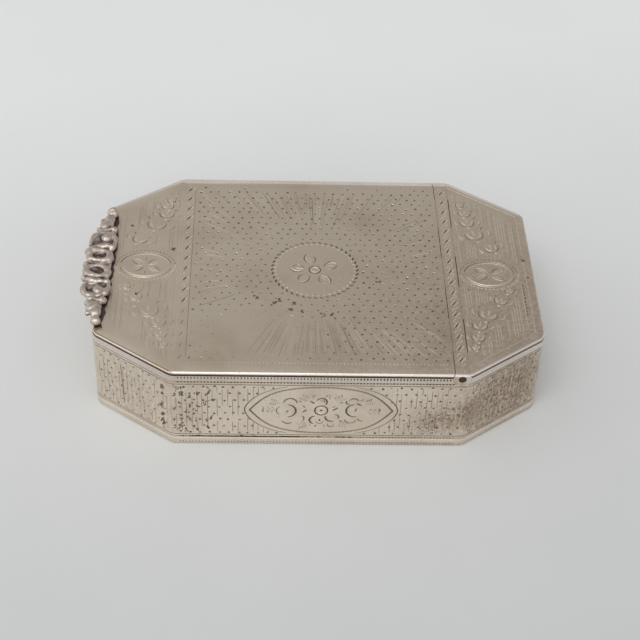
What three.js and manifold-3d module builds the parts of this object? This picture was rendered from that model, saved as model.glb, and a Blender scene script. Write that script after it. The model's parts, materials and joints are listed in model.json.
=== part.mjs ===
// Octagonal silver snuff box with a flush seven-knuckle hinge and a cast scroll thumbpiece.
// Millimetres. The origin is the middle of the underside, +Z is up,
// and +X runs from the thumbpiece to the hinge end.

import * as THREE from 'three';
import { mergeVertices } from 'three/addons/utils/BufferGeometryUtils.js';
import Module from 'manifold-3d';

// Outside of the box
const BOX_LENGTH = 70;
const BOX_WIDTH = 48;
const BOX_HEIGHT = 15.5;
const CORNER_CUT_LENGTH = 12.4;
const CORNER_CUT_WIDTH = 8.8;
const CORNER_RADIUS = 2;
const LEAST_CORNER_RADIUS = 0.2;

// Sheet that the box is made up from
const BASE_THICKNESS = 0.8;
const BASE_RIM_ROUND = 0.4;
const WALL_THICKNESS = 0.9;
const LID_THICKNESS = 0.7;
const LID_RIM_ROUND = 0.3;
const LEAST_RIM_FLAT = 0.06;
const LID_SEAT_GAP = 0.1;

// Bezel that guides the lid inside the wall
const BEZEL_THICKNESS = 0.6;
const BEZEL_DEPTH = 2;
const BEZEL_CLEARANCE = 0.3;

// Hinge: flat-topped knuckles on a pin, lying in a channel between two grooved bearers
const HINGE_TO_CORNER = 1.2;
const HINGE_DEPTH = 0.95;
const HINGE_BAND = 2.1;
const INNER_KNUCKLES = 5;
const END_KNUCKLE_LENGTH = 5;
const KNUCKLE_END_GAP = 0.1;
const PIN_DIAMETER = 1.1;
const PIN_CLEARANCE = 0.05;
const PIN_END_SINK = 0.1;
const SEATED_GAP = 0.04;
const RUNNING_GAP = 0.12;
const BEARER_WIDTH = 3;
const BEARER_FLOOR = 0.5;
const BEARER_HALF_SPLIT = 0.15;
const BEARER_END_GAP = 0.1;

// Thumbpiece: scrolls, rings and beads on a crescent-shaped back
const THUMB_END_MARGIN = 1.2;
const THUMB_HALF_WIDTH = 2;
const THUMB_FOOTING = 1.5;
const THUMB_END_WIDTH = 1.1;
const THUMB_OVERHANG = 1.3;
const THUMB_BACK_HEIGHT = 0.6;
const FORM_LIFT = 0.25;
const RING_RADIUS = 1.2;
const RING_STRETCH = 1.25;
const RING_WIRE = 0.5;
const BAND_WIRE = 0.46;
const LOBE_HEIGHT = 1.2;
const SCROLL_LOBE_LENGTH = 1.9;
const SCROLL_LOBE_WIDTH = 1.6;
const LEAF_LOBE_LENGTH = 3.6;
const LEAF_LOBE_WIDTH = 1.5;
const BEAD_RADIUS = 0.5;
const END_BEAD_RADIUS = 0.62;

// Facet counts
const CORNER_STEPS = 2;
const RIM_STEPS = 2;
const KNUCKLE_STEPS = 14;
const CHANNEL_SIDES = 40;
const PIN_SIDES = 20;
const RING_SIDES = 8;
const RING_STEPS = 16;
const BEAD_SIDES = 8;
const BEAD_RINGS = 6;
const BAND_STEPS = 10;

// A cutter reaches this far past what it cuts
const CUT_MARGIN = 1;

// Finishes
const SILVER = { color: 0xb9ae9d, roughness: 0.34, metalness: 1 };
const BRIGHT_SILVER = { color: 0xcbc3b6, roughness: 0.26, metalness: 1 };
const DULL_PIN = { color: 0x6a5746, roughness: 0.6, metalness: 0.8 };

// Levels and hinge axis that the pieces share
const lidUnderside = BOX_HEIGHT - LID_THICKNESS;
const wallTop = lidUnderside - LID_SEAT_GAP;
const hingeX = BOX_LENGTH / 2 - CORNER_CUT_LENGTH - HINGE_TO_CORNER;
const hingeZ = BOX_HEIGHT - HINGE_DEPTH;
const knuckleRadius = Math.hypot(HINGE_BAND / 2, HINGE_DEPTH);
const bearerBottom = hingeZ - knuckleRadius - BEARER_FLOOR;
const lidInset = WALL_THICKNESS + BEZEL_CLEARANCE;

const wasm = await Module();
wasm.setup();

// A closed geometry as a solid that can be joined and cut
function toSolid(geometry) {
  const bare = geometry.clone();
  bare.deleteAttribute('normal');
  bare.deleteAttribute('uv');
  const merged = mergeVertices(bare);
  return new wasm.Manifold(new wasm.Mesh({
    numProp: 3,
    vertProperties: Float32Array.from(merged.attributes.position.array),
    triVerts: Uint32Array.from(merged.index.array),
  }));
}

function toGeometry(solid) {
  const { vertProperties, triVerts } = solid.getMesh();
  const geometry = new THREE.BufferGeometry();
  geometry.setAttribute('position', new THREE.BufferAttribute(vertProperties, 3));
  geometry.setIndex(new THREE.BufferAttribute(triVerts, 1));
  geometry.computeVertexNormals();
  return geometry;
}

function piece(name, geometry, finish) {
  const mesh = new THREE.Mesh(geometry, new THREE.MeshStandardMaterial(finish));
  mesh.name = name;
  return mesh;
}

// Corners of the plan, drawn in evenly by an inset, anticlockwise from the hinge end
function planCorners(inset) {
  const slant = Math.hypot(CORNER_CUT_LENGTH, CORNER_CUT_WIDTH);
  const endX = BOX_LENGTH / 2 - inset;
  const sideY = BOX_WIDTH / 2 - inset;
  const endY = BOX_WIDTH / 2 - CORNER_CUT_WIDTH
    - inset * (slant - CORNER_CUT_WIDTH) / CORNER_CUT_LENGTH;
  const sideX = BOX_LENGTH / 2 - CORNER_CUT_LENGTH
    - inset * (slant - CORNER_CUT_LENGTH) / CORNER_CUT_WIDTH;
  const points = [
    [endX, endY], [sideX, sideY], [-sideX, sideY], [-endX, endY],
    [-endX, -endY], [-sideX, -sideY], [sideX, -sideY], [endX, -endY],
  ];
  return points.map(([x, y]) => new THREE.Vector2(x, y));
}

// The plan with its corners rounded, as a path of arcs joined by straight sides
function drawPlan(path, inset) {
  const corners = planCorners(inset);
  const radius = Math.max(CORNER_RADIUS - inset, LEAST_CORNER_RADIUS);
  corners.forEach((corner, i) => {
    const back = corners.at(i - 1).clone().sub(corner).normalize();
    const on = corners[(i + 1) % corners.length].clone().sub(corner).normalize();
    const half = back.angleTo(on) / 2;
    const inward = back.clone().add(on).normalize();
    const centre = corner.clone().addScaledVector(inward, radius / Math.sin(half));
    const start = corner.clone().addScaledVector(back, radius / Math.tan(half)).sub(centre);
    const end = corner.clone().addScaledVector(on, radius / Math.tan(half)).sub(centre);
    path.absarc(centre.x, centre.y, radius, start.angle(), end.angle(), false);
  });
  return path;
}

// The plan as an upright prism between two heights
function prism(inset, bottom, top) {
  const geometry = new THREE.ExtrudeGeometry(drawPlan(new THREE.Shape(), inset), {
    depth: top - bottom,
    bevelEnabled: false,
    curveSegments: CORNER_STEPS,
  });
  return geometry.translate(0, 0, bottom);
}

// The plan as a plate with its rim rounded over, above and below
function plate(bottom, top, round) {
  const rim = Math.min(round, (top - bottom - LEAST_RIM_FLAT) / 2);
  const geometry = new THREE.ExtrudeGeometry(drawPlan(new THREE.Shape(), 0), {
    depth: top - bottom - 2 * rim,
    bevelThickness: rim,
    bevelSize: rim,
    bevelOffset: -rim,
    bevelSegments: RIM_STEPS,
    curveSegments: CORNER_STEPS,
  });
  return geometry.translate(0, 0, bottom + rim);
}

// A block between two corners
function block(x0, x1, y0, y1, z0, z1) {
  const geometry = new THREE.BoxGeometry(x1 - x0, y1 - y0, z1 - z0);
  return geometry.translate((x0 + x1) / 2, (y0 + y1) / 2, (z0 + z1) / 2);
}

// A block across the whole box that reaches past its sides, for cutting at a length or a height
function crossBlock(x0, x1, z0, z1) {
  const y = BOX_WIDTH / 2 + CUT_MARGIN;
  return toSolid(block(x0, x1, -y, y, z0, z1));
}

const farX = BOX_LENGTH / 2 + CUT_MARGIN;
const farZ = BOX_HEIGHT + CUT_MARGIN;

// Knuckles in order along the hinge: the box's and the lid's take turns, the box's at both ends
function layOutKnuckles() {
  const innerLength = (BOX_WIDTH - 2 * END_KNUCKLE_LENGTH) / INNER_KNUCKLES;
  const count = INNER_KNUCKLES + 2;
  let from = -BOX_WIDTH / 2;
  return Array.from({ length: count }, (_, i) => {
    const atEnd = i === 0 || i === count - 1;
    const to = from + (atEnd ? END_KNUCKLE_LENGTH : innerLength);
    const knuckle = { name: `knuckle_${i + 1}`, owner: i % 2 ? 'lid' : 'box', from, to };
    from = to;
    return knuckle;
  });
}

const knuckles = layOutKnuckles();

// The channel that the knuckles lie in, wider along those that turn against this owner's metal
function channel(owner) {
  const lengths = knuckles.map((knuckle) => {
    const gap = knuckle.owner === owner ? SEATED_GAP : RUNNING_GAP;
    const radius = knuckleRadius + gap;
    const length = knuckle.to - knuckle.from + KNUCKLE_END_GAP;
    const tube = new THREE.CylinderGeometry(radius, radius, length, CHANNEL_SIDES);
    return toSolid(tube.translate(hingeX, (knuckle.from + knuckle.to) / 2, hingeZ));
  });
  return lengths.reduce((joined, length) => joined.add(length));
}

// Base: a plate whose lower rim is rounded and whose upper face is flat for the wall
function basePlate() {
  const rounded = toSolid(plate(0, BASE_THICKNESS + BASE_RIM_ROUND, BASE_RIM_ROUND));
  const solid = rounded.subtract(crossBlock(-farX, farX, BASE_THICKNESS, farZ));
  return piece('base_plate', toGeometry(solid), SILVER);
}

// Wall: one strip bent round the plan, notched front and back for the end knuckles
function sideWall() {
  const outside = toSolid(prism(0, BASE_THICKNESS, wallTop));
  const inside = toSolid(prism(WALL_THICKNESS, BASE_THICKNESS - CUT_MARGIN, farZ));
  const solid = outside.subtract(inside).subtract(channel('box'));
  return piece('side_wall', toGeometry(solid), SILVER);
}

// Top plate of the hinge end, which closes the box behind the hinge
function hingeEndPlate() {
  const whole = toSolid(plate(wallTop, BOX_HEIGHT, LID_RIM_ROUND));
  const solid = whole.subtract(crossBlock(-farX, hingeX, 0, farZ)).subtract(channel('box'));
  return piece('hinge_end_plate', toGeometry(solid), SILVER);
}

function lidPlate() {
  const whole = toSolid(plate(lidUnderside, BOX_HEIGHT, LID_RIM_ROUND));
  const solid = whole.subtract(crossBlock(hingeX, farX, 0, farZ)).subtract(channel('lid'));
  return piece('lid_plate', toGeometry(solid), SILVER);
}

// A grooved strip on one side of the hinge, between its end walls and under the plate it carries
function bearer(name, owner, x0, x1, top, inset) {
  const strip = crossBlock(x0, x1, bearerBottom, top);
  const room = toSolid(prism(inset, 0, farZ));
  return piece(name, toGeometry(strip.intersect(room).subtract(channel(owner))), SILVER);
}

function boxBearer() {
  const x0 = hingeX + BEARER_HALF_SPLIT;
  const inset = WALL_THICKNESS + BEARER_END_GAP;
  return bearer('box_hinge_bearer', 'box', x0, hingeX + BEARER_WIDTH, wallTop, inset);
}

function lidBearer() {
  const x1 = hingeX - BEARER_HALF_SPLIT;
  return bearer('lid_hinge_bearer', 'lid', hingeX - BEARER_WIDTH, x1, lidUnderside, lidInset);
}

// Bezel: an upright strip under the lid that stops short of the lid's bearer
function lidBezel() {
  const bottom = lidUnderside - BEZEL_DEPTH;
  const end = hingeX - BEARER_WIDTH - BEARER_END_GAP;
  const outside = toSolid(prism(lidInset, bottom, lidUnderside));
  const inside = toSolid(prism(lidInset + BEZEL_THICKNESS, bottom - CUT_MARGIN, farZ));
  const solid = outside.subtract(inside).subtract(crossBlock(end, farX, 0, farZ));
  return piece('lid_bezel', toGeometry(solid), SILVER);
}

// A knuckle's section: a tube with its top filed flat, level with the lid
function knuckleSection() {
  const flatAngle = Math.atan2(HINGE_DEPTH, HINGE_BAND / 2);
  const section = new THREE.Shape();
  section.absarc(0, 0, knuckleRadius, Math.PI - flatAngle, 2 * Math.PI + flatAngle, false);
  const bore = new THREE.Path();
  bore.absarc(0, 0, PIN_DIAMETER / 2 + PIN_CLEARANCE, 0, 2 * Math.PI, true);
  section.holes.push(bore);
  return section;
}

// One knuckle, trimmed to the plan where it comes out through the wall
function hingeKnuckle({ name, from, to }) {
  const first = from === knuckles[0].from;
  const last = to === knuckles.at(-1).to;
  const start = first ? from : from + KNUCKLE_END_GAP / 2;
  const end = last ? to : to - KNUCKLE_END_GAP / 2;
  const tube = new THREE.ExtrudeGeometry(knuckleSection(), {
    depth: end - start,
    bevelEnabled: false,
    curveSegments: KNUCKLE_STEPS,
  });
  tube.rotateX(Math.PI / 2).translate(0, end, 0);
  const plan = toSolid(prism(0, 0, farZ).translate(-hingeX, 0, -hingeZ));
  return piece(name, toGeometry(toSolid(tube).intersect(plan)), SILVER);
}

function hingePin() {
  const radius = PIN_DIAMETER / 2;
  const pin = new THREE.CylinderGeometry(radius, radius, BOX_WIDTH - 2 * PIN_END_SINK, PIN_SIDES);
  return piece('hinge_pin', pin, DULL_PIN);
}

// Knuckles and pin are placed about the hinge axis
function hinge() {
  const group = new THREE.Group();
  group.position.set(hingeX, 0, hingeZ);
  group.add(...knuckles.map(hingeKnuckle), hingePin());
  return group;
}

// Places on the thumbpiece: along is a share of its half length, out is a share of its half width,
// outwards from the lid's edge, and rise is measured up from the lid's face
const thumbHalf = BOX_WIDTH / 2 - CORNER_CUT_WIDTH - THUMB_END_MARGIN;

function thumbPoint(along, out, rise) {
  return new THREE.Vector3(-out * THUMB_HALF_WIDTH, along * thumbHalf, rise);
}

// Crescent back: straight on the lid, bowed out over the edge
function thumbBack() {
  const endX = THUMB_FOOTING - THUMB_END_WIDTH;
  const outline = new THREE.Shape();
  outline.moveTo(THUMB_FOOTING, thumbHalf);
  outline.lineTo(endX, thumbHalf);
  outline.quadraticCurveTo(-2 * THUMB_OVERHANG - endX, 0, endX, -thumbHalf);
  outline.lineTo(THUMB_FOOTING, -thumbHalf);
  return new THREE.ExtrudeGeometry(outline, {
    depth: THUMB_BACK_HEIGHT,
    bevelEnabled: false,
    curveSegments: BAND_STEPS,
  });
}

function thumbRing(along, out) {
  const ring = new THREE.TorusGeometry(RING_RADIUS, RING_WIRE, RING_SIDES, RING_STEPS);
  ring.scale(RING_STRETCH, 1, 1);
  return ring.translate(...thumbPoint(along, out, FORM_LIFT + RING_WIRE));
}

function thumbBead(along, out, radius) {
  const bead = new THREE.SphereGeometry(radius, BEAD_SIDES, BEAD_RINGS);
  return bead.translate(...thumbPoint(along, out, FORM_LIFT + radius));
}

function thumbLobe(along, out, length, width) {
  const lobe = new THREE.SphereGeometry(1 / 2, BEAD_SIDES, BEAD_RINGS);
  lobe.scale(width, length, LOBE_HEIGHT);
  return lobe.translate(...thumbPoint(along, out, FORM_LIFT + LOBE_HEIGHT / 2));
}

// A round wire along a route of places on the thumbpiece
function thumbBand(side, route) {
  const rise = FORM_LIFT + BAND_WIRE;
  const points = route.map(([along, out]) => thumbPoint(side * along, out, rise));
  const wire = new THREE.Shape();
  wire.absarc(0, 0, BAND_WIRE, 0, 2 * Math.PI, false);
  return new THREE.ExtrudeGeometry(wire, {
    extrudePath: new THREE.CatmullRomCurve3(points),
    steps: BAND_STEPS,
    bevelEnabled: false,
    curveSegments: RING_SIDES / 2,
  });
}

// C-scroll bands: one round the outside and one along the lid, both ending at the scroll's lobe
const OUTER_BAND = [[0.25, 0.8], [0.38, 0.7], [0.51, 0.4], [0.585, -0.05], [0.58, -0.4]];
const INNER_BAND = [[0.25, -0.65], [0.36, -0.625], [0.47, -0.35]];

function thumbpiece() {
  const forms = [thumbBack(), thumbBead(0, 0.8, BEAD_RADIUS)];
  for (const side of [1, -1]) {
    forms.push(
      thumbRing(side * 0.115, 0.075),
      thumbBand(side, OUTER_BAND),
      thumbBand(side, INNER_BAND),
      thumbBead(side * 0.245, 0.85, BEAD_RADIUS),
      thumbLobe(side * 0.475, -0.225, SCROLL_LOBE_LENGTH, SCROLL_LOBE_WIDTH),
      thumbBead(side * 0.625, -0.6, BEAD_RADIUS),
      thumbLobe(side * 0.75, -0.275, LEAF_LOBE_LENGTH, LEAF_LOBE_WIDTH),
      thumbBead(side * 0.88, -0.025, BEAD_RADIUS),
      thumbBead(side * 0.945, -0.475, END_BEAD_RADIUS),
    );
  }
  const joined = forms.map(toSolid).reduce((whole, form) => whole.add(form));
  const mesh = piece('thumbpiece', toGeometry(joined), BRIGHT_SILVER);
  mesh.position.set(-BOX_LENGTH / 2, 0, BOX_HEIGHT);
  return mesh;
}

const snuffBox = new THREE.Group();
snuffBox.add(
  basePlate(),
  sideWall(),
  hingeEndPlate(),
  boxBearer(),
  lidPlate(),
  lidBezel(),
  lidBearer(),
  hinge(),
  thumbpiece(),
);

export default snuffBox;
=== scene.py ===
import json
import math
import random

import bmesh
import bpy
from bpy.props import FloatProperty, FloatVectorProperty, PointerProperty
from mathutils import Matrix, Vector
from mathutils.bvhtree import BVHTree


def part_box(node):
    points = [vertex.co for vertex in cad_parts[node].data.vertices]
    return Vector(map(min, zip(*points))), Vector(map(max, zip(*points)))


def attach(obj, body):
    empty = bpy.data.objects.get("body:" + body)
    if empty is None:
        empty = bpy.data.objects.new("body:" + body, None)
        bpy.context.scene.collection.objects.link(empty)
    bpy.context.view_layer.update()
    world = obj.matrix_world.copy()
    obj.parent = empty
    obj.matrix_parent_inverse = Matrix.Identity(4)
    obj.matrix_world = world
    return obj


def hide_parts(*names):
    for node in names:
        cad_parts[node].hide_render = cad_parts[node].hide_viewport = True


bl_info = {
    "name": "Octagonal Snuff Box",
    "version": (1, 0, 0),
    "blender": (4, 5, 0),
    "location": "View3D > Sidebar > Snuff Box",
    "description": "Models an engraved silver snuff box around its packed construction",
    "category": "Object",
}

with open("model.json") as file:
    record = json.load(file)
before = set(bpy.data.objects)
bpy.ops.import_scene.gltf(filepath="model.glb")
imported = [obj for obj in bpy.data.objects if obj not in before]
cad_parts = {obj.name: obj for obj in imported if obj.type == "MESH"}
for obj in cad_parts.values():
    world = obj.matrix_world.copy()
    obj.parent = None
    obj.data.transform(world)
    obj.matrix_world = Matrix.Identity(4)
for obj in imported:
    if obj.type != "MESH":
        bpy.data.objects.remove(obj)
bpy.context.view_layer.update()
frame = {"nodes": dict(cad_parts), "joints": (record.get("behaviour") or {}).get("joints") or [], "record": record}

# Everything is modelled in millimetres and brought to metres when a piece is finished
MM = 0.001


def node_box(node):
    """Lowest and highest corner of a construction node, in millimetres."""
    low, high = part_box(node)
    return low / MM, high / MM


BASE_LOW, BASE_HIGH = node_box("base_plate")
WALL_LOW, WALL_HIGH = node_box("side_wall")
LID_LOW, LID_HIGH = node_box("lid_plate")
END_PLATE_BOTTOM = node_box("hinge_end_plate")[0].z
PIN_LOW, PIN_HIGH = node_box("hinge_pin")
KNUCKLES = [f"knuckle_{i}" for i in range(1, 8)]
HINGE = Vector(frame["joints"][0]["pos_m"]) / MM
KNUCKLE_RADIUS = HINGE.z - node_box(KNUCKLES[0])[0].z
PIN_RADIUS = (PIN_HIGH.z - PIN_LOW.z) / 2
HALF_LENGTH = BASE_HIGH.x
HALF_WIDTH = BASE_HIGH.y
TOP = LID_HIGH.z

BODY_OF = {
    node: body
    for body, nodes in frame["record"]["behaviour"]["bodies"].items()
    for node in nodes
}

# Tolerance when corners and edges are picked out by their place
NEAR = 0.001
CORNERS = [(1, 1), (-1, 1), (-1, -1), (1, -1)]
FULL_TURN = 2 * math.pi
# Edges up to this angle are shaded smooth
SMOOTH_DEGREES = 12


# Sizes and colours that the panel shows


def length(name, description, millimetres):
    """A length property whose default is given in millimetres."""
    return FloatProperty(
        name=name,
        description=description,
        default=millimetres * MM,
        min=0.0,
        precision=5,
        unit="LENGTH",
    )


def colour(name, description, value):
    """A colour property, linear red, green and blue."""
    return FloatVectorProperty(
        name=name, description=description, default=value, min=0.0, max=1.0, subtype="COLOR"
    )


class SnuffBoxSizes(bpy.types.PropertyGroup):
    """Sizes of the sheet work, the hinge and the engraving."""

    corner_cut_length: length("Corner cut, long side", "How far a corner cut runs along the long side", 12.4)
    corner_cut_width: length("Corner cut, end", "How far a corner cut runs along the end", 8.8)
    corner_radius: length("Corner radius", "Rounding of the upright corners", 2.0)
    wall_thickness: length("Wall thickness", "Thickness of the side wall's sheet", 0.9)
    lid_rim: length("Lid rim", "Rounding of the lid's upper edge", 0.36)
    lid_border: length("Lid border", "Width of the lid's sloping border", 0.55)
    lid_drop: length("Lid drop", "How far the lid's border slopes down", 0.1)
    back_slope: length("Back slope", "Width of the worn slope along the lid's back edge", 1.35)
    corner_slope: length("Corner slope", "Width of the worn slopes along the lid's back corner cuts", 0.95)
    lid_foot: length("Lid foot", "Rounding of the lid's lower edge", 0.2)
    base_rim: length("Base rim", "Rounding of the base's lower edge", 0.4)
    lid_seat: length("Lid seat", "Gap along a knuckle that is soldered to the lid", 0.05)
    box_seat: length("Box seat", "Gap along a knuckle that is soldered to the box", 0.02)
    running_gap: length("Running gap", "Gap along a knuckle that turns", 0.1)
    knuckle_gap: length("Knuckle gap", "Gap between the ends of two knuckles", 0.014)
    pin_clearance: length("Pin clearance", "Gap round the pin inside a knuckle", 0.05)
    punch_radius: length("Punch radius", "Radius of the punched dots", 0.215)
    punch_depth: length("Punch depth", "Depth of the punched dots", 0.15)
    punch_spacing: length("Punch spacing", "Distance between the field's punched dots", 1.62)
    hair_width: length("Hairline width", "Width of the rays", 0.11)
    hatch_pitch: length("Hatch pitch", "Distance between the hatching lines of the end panels", 0.44)
    rope_pitch: length("Rope pitch", "Length of one turn of the rope bands", 2.58)
    milled_pitch: length("Milled pitch", "Distance between the ticks of a milled row", 0.5)
    medallion_radius: length("Medallion radius", "Radius of the lid's round border", 6.87)
    oval_length: length("Oval length", "Length of the ovals on the end panels", 8.2)
    oval_width: length("Oval width", "Width of the ovals on the end panels", 6.2)
    navette_length: length("Navette length", "Length of the pointed oval on a long wall", 21.9)
    navette_height: length("Navette height", "Height of the pointed oval on a long wall", 9.85)


class SnuffBoxFinish(bpy.types.PropertyGroup):
    """Colours of the metal and of the stage."""

    silver: colour("Silver", "Worn satin silver", (0.8, 0.7, 0.572))
    wall: colour("Wall", "Silver of the wall, kept paler by handling", (0.86, 0.772, 0.66))
    rim: colour("Rim", "Edges and bands that handling has polished", (0.82, 0.753, 0.69))
    patina: colour("Patina", "Brown bloom on the silver", (0.47, 0.365, 0.26))
    polish: colour("Polish", "Clean metal of the casting", (0.7, 0.617, 0.543))
    bloom: colour("Bloom", "Dull grey bloom on the casting", (0.41, 0.346, 0.302))
    # This colour also paints shade on the wall's front corners and on the lid
    stain_and_shade: colour("Stain", "Brown stains on the wall", (0.3, 0.21, 0.145))
    faint: colour("Faint cut", "Fine cuts that wear has nearly cleaned", (0.5, 0.42, 0.33))
    shade: colour("Shaded cut", "Half-tarnished cuts", (0.3, 0.245, 0.195))
    # This colour darkens the casting's hollows as tarnish, and as painted shade in its recesses and at its foot
    soil_and_shade: colour("Soil", "Dark soil in the casting's recesses", (0.14, 0.105, 0.1))
    tarnish: colour("Tarnish", "Dark tarnish in the deep cuts", (0.105, 0.08, 0.064))
    gilding: colour("Gilding", "Worn gilt wash inside the box", (0.8, 0.61, 0.33))
    pin: colour("Pin", "Dull brown hinge wire", (0.12, 0.066, 0.055))
    floor: colour("Floor", "Pale surface under the box", (0.79, 0.802, 0.8))
    sky: colour("Surroundings", "Soft light from all round", (1.0, 1.0, 1.0))


def size(name):
    """One of the panel's sizes, in millimetres."""
    return getattr(bpy.context.scene.snuff_box_sizes, name) / MM


def tint(name):
    """One of the panel's colours, with full alpha."""
    return (*getattr(bpy.context.scene.snuff_box_finish, name), 1.0)


# The plan that the walls, plates and border lines follow


class Plan:
    """The box's plan drawn in by an inset, walked anticlockwise by its length."""

    LEAST_RADIUS = 0.2
    ARC_STEPS = 8

    def __init__(self, inset=0.0):
        cut_x = size("corner_cut_length")
        cut_y = size("corner_cut_width")
        slant = math.hypot(cut_x, cut_y)
        end_x = HALF_LENGTH - inset
        side_y = HALF_WIDTH - inset
        end_y = HALF_WIDTH - cut_y - inset * (slant - cut_y) / cut_x
        side_x = HALF_LENGTH - cut_x - inset * (slant - cut_x) / cut_y
        corners = []
        for sign_x, sign_y in CORNERS:
            pair = [
                Vector((sign_x * end_x, sign_y * end_y)),
                Vector((sign_x * side_x, sign_y * side_y)),
            ]
            corners += pair if sign_x * sign_y > 0 else reversed(pair)
        self.radius = max(size("corner_radius") - inset, self.LEAST_RADIUS)
        self.stretches = []
        self.total = 0.0
        self.walk(corners)

    def walk(self, corners):
        """Store the straight stretches and arcs in order."""
        count = len(corners)
        headings = [(corners[(i + 1) % count] - corners[i]).normalized() for i in range(count)]
        trims = []
        for i in range(count):
            turn = headings[i - 1].angle(headings[i])
            trims.append((turn, self.radius * math.tan(turn / 2)))
        for i, corner in enumerate(corners):
            heading = headings[i - 1]
            turn, trim = trims[i]
            start = corners[i - 1] + heading * trims[i - 1][1]
            end = corner - heading * trim
            self.add("line", (end - start).length, start, heading)
            centre = end + Vector((-heading.y, heading.x)) * self.radius
            self.add("arc", self.radius * turn, centre, heading)

    def add(self, kind, reach, point, heading):
        self.stretches.append((self.total, reach, kind, point, heading))
        self.total += reach

    def at(self, distance):
        """Point and outward direction at a distance along the plan."""
        distance %= self.total
        for begin, reach, kind, point, heading in reversed(self.stretches):
            if distance >= begin:
                break
        gone = distance - begin
        outward = Vector((heading.y, -heading.x))
        if kind == "line":
            return point + heading * gone, outward
        outward.rotate(Matrix.Rotation(gone / self.radius, 2))
        return point + outward * self.radius, outward

    def on_corner(self, distance, margin=0.35):
        """Whether a place along the plan lies on a rounded corner or just beside it."""
        distance %= self.total
        return any(
            kind == "arc" and begin - margin < distance < begin + reach + margin
            for begin, reach, kind, _, _ in self.stretches
        )

    def nearest(self, x, y, step=0.05):
        """Distance along the plan that comes closest to a point."""
        target = Vector((x, y))
        count = int(self.total / step)
        return min((i * step for i in range(count)), key=lambda s: (self.at(s)[0] - target).length)

    def stations(self, start, end):
        """Distances between two ends where a line round the plan needs a point."""
        places = {start, end}
        for lap in (0.0, self.total):
            for begin, reach, kind, _, _ in self.stretches:
                steps = self.ARC_STEPS if kind == "arc" else 1
                places |= {lap + begin + reach * i / steps for i in range(steps)}
        return sorted(place for place in places if start <= place <= end)


# Modelling by hand


def deselect():
    """Leave edit mode and deselect everything."""
    if bpy.context.object and bpy.context.object.mode != "OBJECT":
        bpy.ops.object.mode_set(mode="OBJECT")
    bpy.ops.object.select_all(action="DESELECT")


def activate(piece):
    deselect()
    piece.select_set(True)
    bpy.context.view_layer.objects.active = piece


def edit(piece):
    activate(piece)
    bpy.ops.object.mode_set(mode="EDIT")


def select_edges(test):
    """Select the edges of the mesh in edit mode that pass a test."""
    mesh = bpy.context.object.data
    bpy.ops.mesh.select_mode(type="EDGE")
    bpy.ops.mesh.select_all(action="DESELECT")
    for edge in bmesh.from_edit_mesh(mesh).edges:
        if test(edge):
            edge.select_set(True)
    bmesh.update_edit_mesh(mesh)


def bevel(width, segments):
    bpy.ops.mesh.bevel(
        offset=width,
        offset_type="OFFSET",
        segments=segments,
        profile=0.5,
        affect="EDGES",
        clamp_overlap=False,
    )


def cut_away(point, normal):
    """Cut the mesh in edit mode with a plane, drop what lies beyond it and close the cut."""
    bpy.ops.mesh.select_all(action="SELECT")
    bpy.ops.mesh.bisect(
        plane_co=point, plane_no=normal, use_fill=True, clear_outer=True, threshold=NEAR / 10
    )


def is_upright(edge):
    a, b = (vert.co for vert in edge.verts)
    return (a.xy - b.xy).length < NEAR < abs(a.z - b.z)


def octagon_block(name, bottom, top, inset=0.0):
    """A block with its four corners cut off and its upright edges rounded."""
    deselect()
    x = HALF_LENGTH - inset
    y = HALF_WIDTH - inset
    bpy.ops.mesh.primitive_cube_add(
        size=1, location=(0, 0, (bottom + top) / 2), scale=(2 * x, 2 * y, top - bottom)
    )
    block = bpy.context.object
    block.name = name
    bpy.ops.object.transform_apply(location=True, rotation=True, scale=True)
    edit(block)
    cut_x = size("corner_cut_length")
    cut_y = size("corner_cut_width")
    for sign_x, sign_y in CORNERS:
        normal = Vector((sign_x * cut_y, sign_y * cut_x, 0)).normalized()
        corner = Vector((sign_x * (HALF_LENGTH - cut_x), sign_y * HALF_WIDTH, 0))
        cut_away(corner - normal * inset, normal)
    end_turn = math.atan2(cut_x, cut_y)
    radius = max(size("corner_radius") - inset, Plan.LEAST_RADIUS)
    for axis, reach, turn in ((0, x, end_turn), (1, y, math.pi / 2 - end_turn)):
        select_edges(lambda edge: is_upright(edge) and abs(edge.verts[0].co[axis]) > reach - NEAR)
        bevel(radius * math.tan(turn / 2), Plan.ARC_STEPS)
    deselect()
    return block


def round_rim(block, level, width, segments=9):
    """Round the rim of a plate at one of its levels."""
    edit(block)

    def on_rim(edge):
        level_edge = all(abs(vert.co.z - level) < NEAR for vert in edge.verts)
        return level_edge and any(abs(face.normal.z) < 0.5 for face in edge.link_faces)

    select_edges(on_rim)
    bevel(width, segments)
    deselect()


# Slope of the worn back edges, just too steep to be shaded smooth
WORN_SLOPE = math.radians(SMOOTH_DEGREES + 0.6)
# Upward share of a face's normal from which the face counts as level
LEVEL_FACE = 0.98
# How close a face's normal comes to a worn slope's, and to square with the long sides
SLOPE_MATCH = 0.004
SIDE_MATCH = 0.05
# Share of a face's normal from which the face counts as turned towards an end or a long side
TURNED_FACE = 0.1


def wear_back_edges():
    """Slope the back edges of the plate in edit mode, along the back and the two corner cuts beside it."""
    cut_x = size("corner_cut_length")
    cut_y = size("corner_cut_width")
    for outward in (Vector((0, 1, 0)), Vector((cut_y, cut_x, 0)), Vector((-cut_y, cut_x, 0))):
        outward.normalize()
        corner = Vector((math.copysign(HALF_LENGTH - cut_x, outward.x), HALF_WIDTH, TOP))
        normal = outward * math.sin(WORN_SLOPE) + Vector((0, 0, math.cos(WORN_SLOPE)))
        width = size("corner_slope") if outward.x else size("back_slope")
        cut_away(corner - outward * width, normal)


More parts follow.
